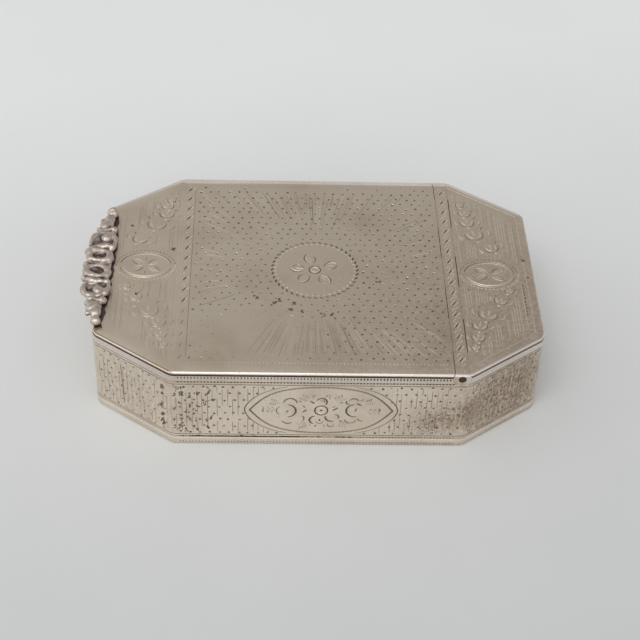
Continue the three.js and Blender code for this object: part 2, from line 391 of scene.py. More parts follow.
def plate_block(name, bottom):
    """A plate with a rounded edge, whose border slopes gently up to its flat top."""
    shoulder = TOP - size("lid_drop")
    plate = octagon_block(name, bottom, shoulder)
    round_rim(plate, shoulder, size("lid_rim"))
    edit(plate)
    bpy.ops.mesh.select_mode(type="FACE")
    bpy.ops.mesh.select_all(action="DESELECT")
    for face in bmesh.from_edit_mesh(plate.data).faces:
        face.select_set(face.normal.z > 0.9999)
    bmesh.update_edit_mesh(plate.data)
    bpy.ops.mesh.inset(thickness=size("lid_border"), depth=size("lid_drop"))
    wear_back_edges()
    deselect()
    plate.data.materials.append(FINISHES["silver"])
    paint_faces(plate, FINISHES["rim"], is_bright_edge)
    return plate


def is_bright_edge(face):
    """Whether a face of a plate lies on a worn slope or on a rounded edge that handling has polished."""
    x, y, z = face.normal
    on_slope = abs(z - math.cos(WORN_SLOPE)) < SLOPE_MATCH
    along_side = abs(x) < SIDE_MATCH
    on_right_corner = x > TURNED_FACE and y < -TURNED_FACE
    return on_slope or abs(z) < LEVEL_FACE and (along_side or on_right_corner)


def mesh_piece(name, points, faces):
    """A new mesh object whose faces all point outwards."""
    mesh = bpy.data.meshes.new(name)
    mesh.from_pydata(points, [], faces)
    piece = bpy.data.objects.new(name, mesh)
    bpy.context.scene.collection.objects.link(piece)
    edit(piece)
    bpy.ops.mesh.select_all(action="SELECT")
    bpy.ops.mesh.normals_make_consistent(inside=False)
    deselect()
    return piece


def boolean(piece, tool, operation="DIFFERENCE"):
    """Cut or trim a piece with a tool, which is used up. Cut faces take the tool's material."""
    before = len(piece.data.vertices)
    modifier = piece.modifiers.new("Cut", "BOOLEAN")
    modifier.operation = operation
    modifier.solver = "MANIFOLD"
    modifier.material_mode = "TRANSFER"
    modifier.object = tool
    activate(piece)
    bpy.ops.object.modifier_apply(modifier=modifier.name)
    bpy.data.objects.remove(tool)
    if len(piece.data.vertices) in (0, before):
        raise RuntimeError(f"{piece.name}: a cut left the mesh as it was or took it all away")


# Sides of a round rod, and of the bore through a knuckle
ROD_SIDES = 64
BORE_SIDES = 40


def stepped_rod(name, stations, sides=ROD_SIDES):
    """A rod along the hinge axis whose radius changes at its stations, given as (y, radius)."""
    points = []
    for y, radius in stations:
        for i in range(sides):
            turn = FULL_TURN * i / sides
            points.append((HINGE.x + radius * math.cos(turn), y, HINGE.z + radius * math.sin(turn)))
    faces = [list(range(sides)), [len(points) - 1 - i for i in range(sides)]]
    for near in range(0, len(points) - sides, sides):
        far = near + sides
        for i in range(sides):
            j = (i + 1) % sides
            faces.append((near + i, near + j, far + j, far + i))
    return mesh_piece(name, points, faces)


def hinge_channel(owner):
    """The rod that clears the hinge's channel: close along the owner's knuckles, wide along the rest."""
    boxes = [node_box(knuckle) for knuckle in KNUCKLES]
    bounds = [-HALF_WIDTH - 1]
    bounds += [(box[1].y + following[0].y) / 2 for box, following in zip(boxes, boxes[1:])]
    bounds.append(HALF_WIDTH + 1)
    stations = []
    for i, knuckle in enumerate(KNUCKLES):
        gap = size(f"{owner}_seat") if BODY_OF[knuckle] == owner else size("running_gap")
        stations += [(bounds[i], KNUCKLE_RADIUS + gap), (bounds[i + 1], KNUCKLE_RADIUS + gap)]
    return stepped_rod("hinge_channel", stations)


def paint_faces(piece, material, test):
    """Give the faces that pass a test a material of their own."""
    piece.data.materials.append(material)
    slot = len(piece.data.materials) - 1
    for face in piece.data.polygons:
        if test(face):
            face.material_index = slot


def finish_piece(piece, node, smooth_degrees=SMOOTH_DEGREES):
    """Bring a modelled piece to metres and seat it on the construction in place of its node."""
    activate(piece)
    piece.scale = (MM, MM, MM)
    bpy.ops.object.transform_apply(location=True, rotation=True, scale=True)
    bpy.ops.object.shade_smooth_by_angle(angle=math.radians(smooth_degrees))
    piece.data.name = piece.name
    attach(piece, BODY_OF[node])
    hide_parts(node)
    deselect()


# Engraving


class Graver:
    """Tool marks for one surface, sorted into layers in which no two marks touch."""

    # How far a tool stands out of the surface, and the grid that tells which marks touch
    LIFT = 0.05
    CELL = 0.1
    # A pit is left out where this many layers of marks already cross
    CROWDED = 5

    def __init__(self, place):
        self.place = place
        self.layers = []

    def cells(self, spots):
        """The cells of the surface that a mark's spots, given as (u, v, reach), lie in."""
        cells = set()
        for u, v, reach in spots:
            span = math.ceil(reach / self.CELL)
            column = round(u / self.CELL)
            row = round(v / self.CELL)
            cells |= {
                (column + i, row + j)
                for i in range(-span, span + 1)
                for j in range(-span, span + 1)
            }
        return cells

    def layer(self, finish, spots):
        """The first layer of these finishes where the spots are free, which are then taken."""
        cells = self.cells(spots)
        for layer in self.layers:
            if layer["finish"] == finish and layer["taken"].isdisjoint(cells):
                break
        else:
            layer = {"finish": finish, "taken": set(), "points": [], "faces": [], "slots": []}
            self.layers.append(layer)
        layer["taken"] |= cells
        return layer

    def add(self, layer, points, faces, slots=()):
        first = len(layer["points"])
        layer["points"] += [self.place(*point) for point in points]
        layer["faces"] += [[first + i for i in face] for face in faces]
        layer["slots"] += slots or [0] * len(faces)

    def punch(self, u, v, radius, depth, finish="tarnish", sides=8, turn=0.0, lip=None):
        """A round dint, steep at its rim or with a lip of another finish that slopes into it."""
        # Rings of the tool as (radius, height)
        rings = [(radius * 1.12, self.LIFT), (radius * 0.74, -depth * 0.6)]
        if lip:
            rings = [(radius * 1.05 + 0.1, self.LIFT), (radius, -depth * 0.2), rings[1]]
        layer = self.layer((finish, lip) if lip else (finish,), [(u, v, rings[0][0] + 0.05)])
        points = []
        for reach, height in rings:
            for i in range(sides):
                angle = turn + FULL_TURN * i / sides
                points.append((u + reach * math.cos(angle), v + reach * math.sin(angle), height))
        points.append((u, v, -depth))
        faces = [list(range(sides))]
        for ring in range(0, len(points) - 1 - sides, sides):
            for i in range(sides):
                j = (i + 1) % sides
                faces.append((ring + i, ring + j, ring + sides + j, ring + sides + i))
        inner = len(points) - 1 - sides
        faces += [(inner + i, inner + (i + 1) % sides, inner + sides) for i in range(sides)]
        slots = [1] * (1 + sides) + [0] * (len(faces) - 1 - sides) if lip else ()
        self.add(layer, points, faces, slots)

    def pit(self, u, v, radius, rng):
        """An irregular pit, eaten into the surface where earlier marks have left enough of it."""
        cells = self.cells([(u, v, radius)])
        crossed = [layer for layer in self.layers if not layer["taken"].isdisjoint(cells)]
        if len(crossed) < self.CROWDED:
            depth = radius * rng.uniform(0.5, 0.8)
            self.punch(u, v, radius, depth, "tarnish", 6, rng.uniform(0, 3))

    def sections(self, route, widths, slope, closed):
        """Left, right and bottom points of a V-shaped cut along a route."""
        count = len(route)
        points = []
        for i, (u, v) in enumerate(route):
            back = route[i - 1] if i or closed else route[i]
            on = route[(i + 1) % count] if i < count - 1 or closed else route[i]
            run = Vector((on[0] - back[0], on[1] - back[1])).normalized()
            half = widths[i] / 2
            top = half + self.LIFT / slope
            points.append((u - run.y * top, v + run.x * top, self.LIFT))
            points.append((u + run.y * top, v - run.x * top, self.LIFT))
            points.append((u, v, -half * slope))
        return points

    def stroke(self, route, width, slope=1.0, finish="tarnish", swell=0.5):
        """A V-shaped cut that runs out to a point at both ends."""
        last = len(route) - 1
        shares = [math.sin(math.pi * i / last) ** swell for i in range(last + 1)]
        inner = route[1:-1]
        widths = [width * share for share in shares[1:-1]]
        layer = self.layer((finish,), [(u, v, width / 2 + self.LIFT / slope) for u, v in route])
        points = self.sections(inner, widths, slope, closed=False)
        points += [(*route[0], self.LIFT), (*route[-1], self.LIFT)]
        tips = (len(points) - 2, len(points) - 1)
        faces = []
        for i in range(len(inner) - 1):
            a, b = 3 * i, 3 * i + 3
            faces += [(a, a + 1, b + 1, b), (a, b, b + 2, a + 2), (a + 1, a + 2, b + 2, b + 1)]
        for tip, a in ((tips[0], 0), (tips[1], 3 * len(inner) - 3)):
            faces += [(tip, a, a + 1), (tip, a + 1, a + 2), (tip, a + 2, a)]
        self.add(layer, points, faces)

    def loop(self, route, width, slope=1.0, finish="tarnish"):
        """A V-shaped cut along a closed route."""
        layer = self.layer((finish,), [(u, v, width / 2 + self.LIFT / slope) for u, v in route])
        points = self.sections(route, [width] * len(route), slope, closed=True)
        faces = []
        for i in range(len(route)):
            a, b = 3 * i, 3 * ((i + 1) % len(route))
            faces += [(a, a + 1, b + 1, b), (a, b, b + 2, a + 2), (a + 1, a + 2, b + 2, b + 1)]
        self.add(layer, points, faces)

    def dash(self, u, v, angle, reach, width, slope=1.0, finish="tarnish"):
        """A short lens-shaped cut with its middle at a point."""
        half = Vector((math.cos(angle), math.sin(angle))) * reach / 2
        route = straight(u - half.x, v - half.y, u + half.x, v + half.y, 6)
        self.stroke(route, width, slope, finish)

    def cut_into(self, piece):
        """Cut every layer into the piece."""
        for layer in self.layers:
            tool = mesh_piece("graver", layer["points"], layer["faces"])
            for finish in layer["finish"]:
                tool.data.materials.append(FINISHES[finish])
            tool.data.polygons.foreach_set("material_index", layer["slots"])
            boolean(piece, tool)


def polar(centre, reach, turn):
    """Point at a distance and a direction from a centre."""
    return (centre[0] + reach * math.cos(turn), centre[1] + reach * math.sin(turn))


def straight(u0, v0, u1, v1, steps=8):
    return [(u0 + (u1 - u0) * i / steps, v0 + (v1 - v0) * i / steps) for i in range(steps + 1)]


def arc(u, v, radius, start, end, steps=12):
    """Points of an arc between two angles in degrees."""
    turns = [math.radians(start + (end - start) * i / steps) for i in range(steps + 1)]
    return [(u + radius * math.cos(turn), v + radius * math.sin(turn)) for turn in turns]


def ellipse(u, v, half_u, half_v, steps=64):
    turns = [FULL_TURN * i / steps for i in range(steps)]
    return [(u + half_u * math.cos(turn), v + half_v * math.sin(turn)) for turn in turns]


def leaf_side(u, v, angle, near, far, bulge, steps=12):
    """One side of a leaf that points away from a centre."""
    route = []
    for i in range(steps + 1):
        share = i / steps
        along = near + (far - near) * share
        across = bulge * math.sin(math.pi * share) ** 0.8
        route.append((
            u + along * math.cos(angle) - across * math.sin(angle),
            v + along * math.sin(angle) + across * math.cos(angle),
        ))
    return route


def quadratic(start, middle, end, share):
    """Point on a quadratic curve."""
    rest = 1 - share
    return [
        rest * rest * a + 2 * rest * share * b + share * share * c
        for a, b, c in zip(start, middle, end)
    ]


# Finishes


FINISHES = {}


class NodeSheet:
    """A material's node tree, with shorthand for adding nodes and joining them."""

    def __init__(self, name):
        self.material = bpy.data.materials.new(name)
        self.material.use_nodes = True
        self.tree = self.material.node_tree
        self.shader = self.tree.nodes["Principled BSDF"]

    def node(self, kind, inputs=None, **settings):
        node = self.tree.nodes.new(kind)
        for key, value in settings.items():
            setattr(node, key, value)
        self.feed(node, inputs or {})
        return node

    def feed(self, node, inputs):
        for key, value in inputs.items():
            if isinstance(value, bpy.types.NodeSocket):
                self.tree.links.new(value, node.inputs[key])
            else:
                node.inputs[key].default_value = value

    def millimetres(self, stretch=(1, 1, 1), turn=0.0):
        """Object coordinates in millimetres, stretched and turned about Z."""
        place = self.node("ShaderNodeTexCoord").outputs["Object"]
        mapping = self.node("ShaderNodeMapping", {
            "Vector": place,
            "Scale": [share / MM for share in stretch],
            "Rotation": (0, 0, math.radians(turn)),
        })
        return mapping.outputs["Vector"]

    def measured(self, operation, vector):
        """What an operation on a place in millimetres and a fixed vector gives."""
        node = self.node(
            "ShaderNodeVectorMath", {0: self.millimetres(), 1: vector}, operation=operation
        )
        return node.outputs["Value"]

    def noise(self, scale, detail=4.0, roughness=0.55, stretch=(1, 1, 1), turn=0.0):
        noise = self.node("ShaderNodeTexNoise", {
            "Vector": self.millimetres(stretch, turn),
            "Scale": scale,
            "Detail": detail,
            "Roughness": roughness,
        })
        return noise.outputs["Fac"]

    def spread(self, value, low, high, to_low=0.0, to_high=1.0):
        """A value's range between low and high, spread over another range."""
        node = self.node("ShaderNodeMapRange", {
            "Value": value,
            "From Min": low,
            "From Max": high,
            "To Min": to_low,
            "To Max": to_high,
        })
        return node.outputs["Result"]

    def math(self, operation, first, second):
        node = self.node("ShaderNodeMath", operation=operation)
        self.feed(node, {0: first, 1: second})
        return node.outputs["Value"]

    def mix(self, share, first, second):
        node = self.node("ShaderNodeMix", data_type="RGBA")
        self.feed(node, {0: share, 6: first, 7: second})
        return node.outputs[2]

    def bump(self, height, strength, reach):
        node = self.node("ShaderNodeBump", {
            "Height": height,
            "Strength": strength,
            "Distance": reach * MM,
        })
        return node.outputs["Normal"]


# Stains and painted shade as (x, y, z, radius in millimetres, share). On the wall the first, second and fifth are
# brown stains; the third, at the front wall's right corner, and the fourth and sixth, over the two front corner
# cuts, are painted shade.
WALL_STAINS_AND_SHADE = (
    (18.7, -24.0, 5.6, 4.0, 1.1), (15.5, -24.0, 4.5, 5.0, 0.5), (22.9, -24.0, 7.2, 3.8, 1.5),
    (29.5, -19.5, 8.0, 13.0, 1.5), (-20.5, -24.0, 7.5, 4.5, 0.3), (-29.5, -19.5, 7.0, 13.0, 0.45),
)
# On the lid and the other silver parts these are painted shade, growing towards the front right
TOP_PAINTED_SHADE = ((27.0, -20.0, 15.5, 46.0, 0.52), (36.0, -6.0, 15.5, 30.0, 0.3))
# Directions of the hair scratches in degrees
SCRATCH_TURNS = (8.0, 63.0, 121.0)


def worn_metal(name, base, bloom, roughness, bloom_share=0.5, scratch=1.0, stains_and_shade=(), relief=0.35):
    """Worn metal: cloudy bloom, fine mottling, hair scratches in three directions, and staining and painted shade.
    """
    sheet = NodeSheet(name)
    clouds = sheet.spread(sheet.noise(0.09, 5.0, 0.6), 0.45, 0.72, 0.0, bloom_share)
    mottle = sheet.spread(sheet.noise(1.7, 6.0, 0.65), 0.3, 0.75)
    grain = sheet.noise(9.0, 3.0, 0.6)
    lines = None
    for turn in SCRATCH_TURNS:
        hair = sheet.spread(sheet.noise(1.0, 2.0, 0.5, (0.12, 11.0, 11.0), turn), 0.62, 0.74)
        lines = hair if lines is None else sheet.math("MAXIMUM", lines, hair)
    shade = sheet.mix(clouds, base, bloom)
    shade = sheet.mix(sheet.spread(mottle, 0.0, 1.0, 0.0, 0.22), shade, bloom)
    shade = sheet.mix(sheet.math("MULTIPLY", lines, 0.12 * scratch), shade, base)
    # Each spot darkens towards its middle, as a stain or as painted shade
    for x, y, z, radius, share in stains_and_shade:
        away = sheet.measured("DISTANCE", (x, y, z))
        spot = sheet.spread(away, radius, 0.2 * radius, 0.0, share)
        shade = sheet.mix(sheet.math("MULTIPLY", spot, mottle), shade, tint("stain_and_shade"))
    gloss = sheet.spread(mottle, 0.0, 1.0, roughness - 0.05, roughness + 0.08)
    gloss = sheet.math("ADD", gloss, sheet.math("MULTIPLY", clouds, 0.1))
    grooves = sheet.math("MULTIPLY", lines, -0.6 * scratch)
    height = sheet.math("ADD", grooves, sheet.math("MULTIPLY", grain, 0.5))
    sheet.feed(sheet.shader, {
        "Base Color": shade,
        "Metallic": 1.0,
        "Roughness": gloss,
        "Normal": sheet.bump(height, relief, 0.012),
    })
    return sheet.material


def dark_tarnish():
    """Dry brown-black tarnish that fills the deep cuts."""
    sheet = NodeSheet("dark_tarnish")
    depth = sheet.spread(sheet.noise(1.3, 4.0), 0.3, 0.7)
    dark = tint("tarnish")
    paler = [share * 2.6 for share in dark[:3]] + [1.0]
    sheet.feed(sheet.shader, {
        "Base Color": sheet.mix(depth, dark, paler),
        "Metallic": 0.55,
        "Roughness": 0.55,
    })
    return sheet.material


def cast_silver():
    """Worn casting with a dull bloom, dark in its recesses with tarnish and painted shade."""
    sheet = NodeSheet("cast_silver")
    # The stored value darkens the casting: partly tarnish, partly painted shade where it is sheltered or near the
    # lid
    soil_and_shade = sheet.node("ShaderNodeAttribute", attribute_name="soil_and_shade").outputs["Fac"]
    patch = sheet.spread(sheet.noise(0.9, 5.0), 0.3, 0.7)
    share = sheet.spread(sheet.math("ADD", soil_and_shade, sheet.math("MULTIPLY", patch, 0.2)), 0.28, 0.62)
    clean = sheet.mix(sheet.spread(patch, 0.0, 1.0, 0.25, 0.7), tint("polish"), tint("bloom"))
    sheet.feed(sheet.shader, {
        "Base Color": sheet.mix(share, clean, tint("soil_and_shade")),
        "Metallic": 1.0,
        "Roughness": sheet.spread(share, 0.0, 1.0, 0.42, 0.56),
        "Normal": sheet.bump(sheet.noise(5.0, 3.0), 0.25, 0.02),
    })
    return sheet.material


def pale_floor():
    """Matt paper-like surface with a faint mottle and painted shade that dims it a little towards the front and
    the right.
    """
    sheet = NodeSheet("pale_floor")
    tone = tint("floor")
    shaded_tone = [share * 0.72 for share in tone[:3]] + [1.0]
    cloud = sheet.spread(sheet.noise(0.03, 3.0), 0.35, 0.65, -0.03, 0.03)
    # Painted shade: the floor dims along this direction, towards the front and the right
    toward = (0.0013, -0.006, 0)
    slant = sheet.measured("DOT_PRODUCT", toward)
    share = sheet.math("ADD", sheet.spread(slant, -0.52, 0.48), cloud)
    sheet.feed(sheet.shader, {
        "Base Color": sheet.mix(share, tone, shaded_tone),
        "Roughness": 0.75,
        "Specular IOR Level": 0.25,
    })
    return sheet.material


def make_finishes():
    """Make each finish once."""
    silver, patina = tint("silver"), tint("patina")
    # The silver carries painted shade towards the front right
    FINISHES["silver"] = worn_metal("worn_silver", silver, patina, 0.36, stains_and_shade=TOP_PAINTED_SHADE)
    FINISHES["wall"] = worn_metal("wall_silver", tint("wall"), patina, 0.36, stains_and_shade=WALL_STAINS_AND_SHADE)
    FINISHES["rim"] = worn_metal("polished_rim", tint("rim"), patina, 0.24, 0.3, 0.4, relief=0.04)
    FINISHES["cut"] = worn_metal("engraved_silver", silver, patina, 0.38, 0.3, 0.3)
    FINISHES["faint"] = worn_metal("faint_cut", tint("faint"), tint("shade"), 0.4, 0.3, 0.2)
    FINISHES["shade"] = worn_metal("shaded_cut", tint("shade"), tint("tarnish"), 0.42, 0.3, 0.2)
    FINISHES["gilding"] = worn_metal("gilt_wash", tint("gilding"), silver, 0.34, 0.6, 0.6)
    FINISHES["pin"] = worn_metal("pin_wire", tint("pin"), tint("tarnish"), 0.55, 0.5, 0.3)
    FINISHES["tarnish"] = dark_tarnish()
    FINISHES["cast"] = cast_silver()
    FINISHES["floor"] = pale_floor()


# Ornament on the lid


FIELD_LEFT = -20.4
FIELD_RIGHT = 19.6
FIELD_SIDE = 21.3
MEDALLION = (-0.5, 0.0)
MEDALLION_WEDGES = 44
# Directions of the flower's petals in degrees
PETAL_TURNS = (105, 22, -58, -132, 172)
SUN_RAYS = 230
# Finishes of the rays, on the whole lid and where it is worn, as often as they occur
RAY_FINISHES = ("faint",) * 4 + ("cut",) * 4 + ("shade",)
WORN_RAY_FINISHES = ("faint",) * 2 + ("cut",) * 2
# The lid's worn patch as (x, y, half length, half width)
WORN_PATCH = (-10.0, -16.0, 14.5, 8.5)
# Wear from which the lid's rays are thinned out, its dots are faint and its dots are gone
RAY_WEAR = 0.4
FAINT_WEAR = 0.45
GONE_WEAR = 0.75
# Worn rays are gone to the left of this place
BARE_LEFT = -9.0
# The lid's dots have stayed crisp to the right of the first place and behind the second
CRISP_RIGHT = 5.0
CRISP_BACK = 9.0
# Rows of small dots along the lid's long sides, by their distance from its middle line
BORDER_DOTS = 21.8
BORDER_DOT_PITCH = 0.58
# The rope band across the lid's left end, worn nearer the front than this
ROPE_BAND = -21.3
WORN_ROPE = -8.0
# Lines beside the rope band as (x, width, finish)
ROPE_LINES = ((FIELD_LEFT, 0.12, "faint"), (-22.1, 0.1, "cut"), (-22.6, 0.1, "cut"))


def on_top(x, y, height):
    """Place on the lid's upper face."""
    return (x, y, TOP + height)


def medallion(graver):
    """Round border of slanting wedges and beads with a five-petalled flower inside."""
    radius = size("medallion_radius")
    for i in range(MEDALLION_WEDGES):
        turn = FULL_TURN * i / MEDALLION_WEDGES
        graver.dash(*polar(MEDALLION, radius, turn), turn + math.radians(62), 0.85, 0.34, 0.9)
        between = turn + math.pi / MEDALLION_WEDGES
        graver.punch(*polar(MEDALLION, radius - 0.5, between), 0.16, 0.08, "cut")
    graver.loop(ellipse(*MEDALLION, 0.92, 0.92, 36), 0.2)
    graver.loop(ellipse(*MEDALLION, 0.6, 0.6, 24), 0.2, 0.5, "cut")
    for degrees in PETAL_TURNS:
        angle = math.radians(degrees)
        graver.stroke(leaf_side(*MEDALLION, angle, 1.5, 4.3, 0.95), 0.2, 0.8)
        graver.stroke(leaf_side(*MEDALLION, angle, 1.55, 4.1, 0.7), 0.2, 0.5, "cut")
        graver.stroke(leaf_side(*MEDALLION, angle, 1.6, 3.9, -0.85), 0.18, 0.8, "shade")
        graver.stroke(leaf_side(*MEDALLION, angle, 1.9, 3.2, 0.05), 0.16, 0.5, "cut")


def lid_wear(u, v):
    """How far wear has smoothed the lid at a place, most of all towards its front left."""
    x, y, half_length, half_width = WORN_PATCH
    away = math.hypot((u - x) / half_length, (v - y) / half_width)
    return max(0.0, 1.6 - 1.3 * away)


def punched_field(graver, rng):
    """Staggered rows of punched dots round the medallion."""
    pitch = size("punch_spacing")
    row_pitch = pitch * 0.84
    rows = int(2 * FIELD_SIDE / row_pitch)
    columns = int((FIELD_RIGHT - FIELD_LEFT - 1) / pitch)
    for row in range(rows + 1):
        for column in range(columns + 1):
            u = FIELD_LEFT + 0.8 + (column + row % 2 / 2) * pitch + rng.uniform(-0.26, 0.26)
            v = -FIELD_SIDE + 0.5 + row * row_pitch + rng.uniform(-0.22, 0.22)
            wear = lid_wear(u, v) + rng.uniform(-0.3, 0.3)
            clear = math.hypot(u - MEDALLION[0], v - MEDALLION[1]) > size("medallion_radius") + 0.75
            if wear < GONE_WEAR and clear and abs(v) < FIELD_SIDE and u < FIELD_RIGHT:
                crisp = v > CRISP_BACK or u > CRISP_RIGHT
                dark = rng.random() < (0.9 if crisp else 0.45)
                finish = "faint" if wear > FAINT_WEAR else "tarnish" if dark else "shade"
                radius = size("punch_radius") * rng.uniform(0.75, 1.1) * (1.0 if crisp else 0.88)
                depth = size("punch_depth") * rng.uniform(0.7, 1.0)
                lip = "cut" if rng.random() < (0.18 if v > -6 else 0.05) else None
                graver.punch(u, v, radius, depth, finish, turn=rng.uniform(0, 1), lip=lip)


def sun_rays(graver, rng):
    """Fine rays that run in from the field's border, most of them above and below the medallion."""
    for i in range(SUN_RAYS):
        turn = FULL_TURN * (i + rng.uniform(-0.35, 0.35)) / SUN_RAYS
        run = (math.cos(turn), math.sin(turn))
        side_x = FIELD_RIGHT - MEDALLION[0] if run[0] > 0 else MEDALLION[0] - FIELD_LEFT
        reach = min(side_x / max(abs(run[0]), NEAR), FIELD_SIDE / max(abs(run[1]), NEAR))
        upright = abs(run[1])
        far = reach - rng.uniform(0.3, 1.6)
        near = max(size("medallion_radius") + 1.2, far - rng.uniform(3, 6 + 6 * upright))
        middle = polar(MEDALLION, (near + far) / 2, turn)
        worn = lid_wear(*middle) > RAY_WEAR
        bare = worn and middle[0] < BARE_LEFT
        if far - near > 1.5 and not bare and rng.random() < 0.2 + upright ** 3:
            route = straight(*polar(MEDALLION, near, turn), *polar(MEDALLION, far, turn))
            finish = rng.choice(WORN_RAY_FINISHES if worn else RAY_FINISHES)
            graver.stroke(route, size("hair_width"), 0.35, finish, 0.35)


def rope_unit(graver, x, y, rng):
    """One turn of a rope band: a dark slanting cut between pale curls, which are gone where it is worn."""
    slant = math.radians(60 + rng.uniform(-6, 6))
    worn = x < 0 and y < WORN_ROPE
    graver.dash(x, y, slant, 1.3, 0.18 if worn else 0.3, 0.8, "faint" if worn else "tarnish")
    for side in () if worn else (-1, 1):
        strand = leaf_side(x + side * 0.34, y - side * 0.24, slant, -0.75, 0.75, side * 0.14)
        curl = leaf_side(x - side * 0.2, y + side * 1.0, slant, -0.5, 0.5, side * 0.2)
        graver.stroke(strand, 0.34, 0.4, "cut")
        graver.stroke(curl, 0.24, 0.4, "cut")


def lid_borders(graver, rng):
    """Dotted rows along the lid's long sides and the rope band across its left end."""
    dots = int((FIELD_RIGHT - FIELD_LEFT) / BORDER_DOT_PITCH)
    for side, finish in ((-1, "cut"), (1, "faint")):
        for i in range(dots + 1):
            u = FIELD_LEFT + 0.2 + BORDER_DOT_PITCH * i
            graver.punch(u, side * BORDER_DOTS, 0.13, 0.065, finish, 6)
    for x, width, finish in ROPE_LINES:
        graver.stroke(straight(x, -FIELD_SIDE, x, FIELD_SIDE, 40), width, 0.7, finish, 0.05)
    pitch = size("rope_pitch")
    count = int(2 * (FIELD_SIDE - 0.6) / pitch)
    for i in range(count + 1):
        rope_unit(graver, ROPE_BAND, -FIELD_SIDE + 0.7 + i * pitch, rng)


# Places of the deeper pits on the fixed plate and on the lid
END_PITS = ((33.5, 3.2), (33.7, 2.9), (33.9, -1.2), (32.6, -0.6), (24.0, -4.4))
LID_PITS = (
    (-10, -6.8), (-6.9, -8), (-6.3, -7.4), (-3.7, -8.1), (-4.3, -9.7), (-2.8, -10), (0.5, -10.7),
    (1.9, -10.6), (2.3, -11.6), (9.6, -2.7), (-23.3, 4.6), (-30.4, 10.7), (-28.6, -6.2),
)


def worn_spots(graver, rng):
    """Small clusters of pits, most of them below the medallion."""
    spread = 0.35
    for u, v in LID_PITS:
        for _ in range(4):
            place = (u + rng.uniform(-spread, spread), v + rng.uniform(-spread, spread))
            graver.pit(*place, rng.uniform(0.13, 0.3), rng)


# Ornament on the two end panels


# The hatched ground, by its distance from the box's middle
PANEL_INNER = 23.3
PANEL_OUTER = 33.0
# Border line and row of dashes beside the fixed plate's outer edge
BORDER_LINE = 32.8
BORDER_LINE_ENDS = (-2.8, 13.0)
BORDER_DASHES = 10
BORDER_DASH_START = -10.2
BORDER_DASH_PITCH = 0.78
# Ends of the fine lines round the rims of the lid and of the fixed plate, anticlockwise
LID_LINE_ENDS = ((18.5, HALF_WIDTH), (-HALF_LENGTH, -14.0))
PLATE_LINE_ENDS = ((23.4, -HALF_WIDTH), (23.4, HALF_WIDTH))
# Middle of the oval at the hinge end; the other end's lies opposite it
OVAL = (27.7, -0.6)
# Husks of the garlands at each end as (distance from the box's middle, y, half width, lean in degrees)
LOWER_HUSKS = (
    (30.5, -4.6, 0.62, -26), (28.9, -6.9, 0.95, -22), (26.6, -10.1, 1.4, -18), (25.0, -12.8, 1.1, -10),
    (24.5, -15.5, 0.95, -2), (23.9, -17.8, 0.62, 6),
)
HUSKS = {
    -1: (
        (24.4, 17.6, 0.62, -4), (25.0, 16.2, 0.95, -10), (25.0, 14.0, 1.1, 4), (26.5, 11.3, 1.4, 14),
        (29.0, 7.3, 1.1, 24), *LOWER_HUSKS,
    ),
    1: (
        (24.4, 17.5, 0.62, -4), (25.0, 15.3, 0.95, -10), (25.2, 12.8, 1.1, 4), (26.1, 9.6, 1.4, 14),
        (28.6, 6.2, 1.1, 24), *LOWER_HUSKS,
    ),
}


def husk(graver, u, v, half, lean, worn):
    """A cup-shaped husk that opens along +Y, with flared lips, a drop inside and curls beside it."""
    pale = 0.55 if worn else 1.0

    def leaning(route):
        cos, sin = math.cos(lean), math.sin(lean)
        return [(u + cos * x - sin * y, v + sin * x + cos * y) for x, y in route]

    def bent(side, *points):
        start, middle, end = [(side * half * x, half * y) for x, y in points]
        return leaning([quadratic(start, middle, end, i / 10) for i in range(11)])

    for side in (-1, 1):
        dark = "faint" if worn else "tarnish" if side < 0 and half > 1 else "shade"
        cup = bent(side, (0, -1.1), (1.25, -1.05), (1.08, 0.45))
        glint = bent(side, (0.05, -0.72), (0.85, -0.65), (0.75, 0.45))
        lip = bent(side, (1.08, 0.5), (1.15, 1.0), (1.65, 1.1))
        curl = bent(side, (1.35, -0.6), (2.05, -0.3), (1.8, 0.5))
        outline = bent(side, (1.5, -0.85), (2.4, -0.5), (2.1, 0.5))
        graver.stroke(cup, 0.17, 0.7, dark, 0.6)
        graver.stroke(glint, 0.32 * pale, 0.45, "cut", 0.8)
        graver.stroke(lip, 0.17, 0.6, "faint" if worn else "shade", 0.8)
        graver.stroke(curl, 0.24 * pale, 0.45, "cut", 0.8)
        graver.stroke(outline, 0.13, 0.6, "faint", 0.8)
    graver.stroke(leaning(straight(0, half * 0.8, 0, -half * 0.4)), 0.24, 0.45, "cut")
    graver.punch(*leaning([(0, -half * 1.5)])[0], 0.2, 0.1, "cut")


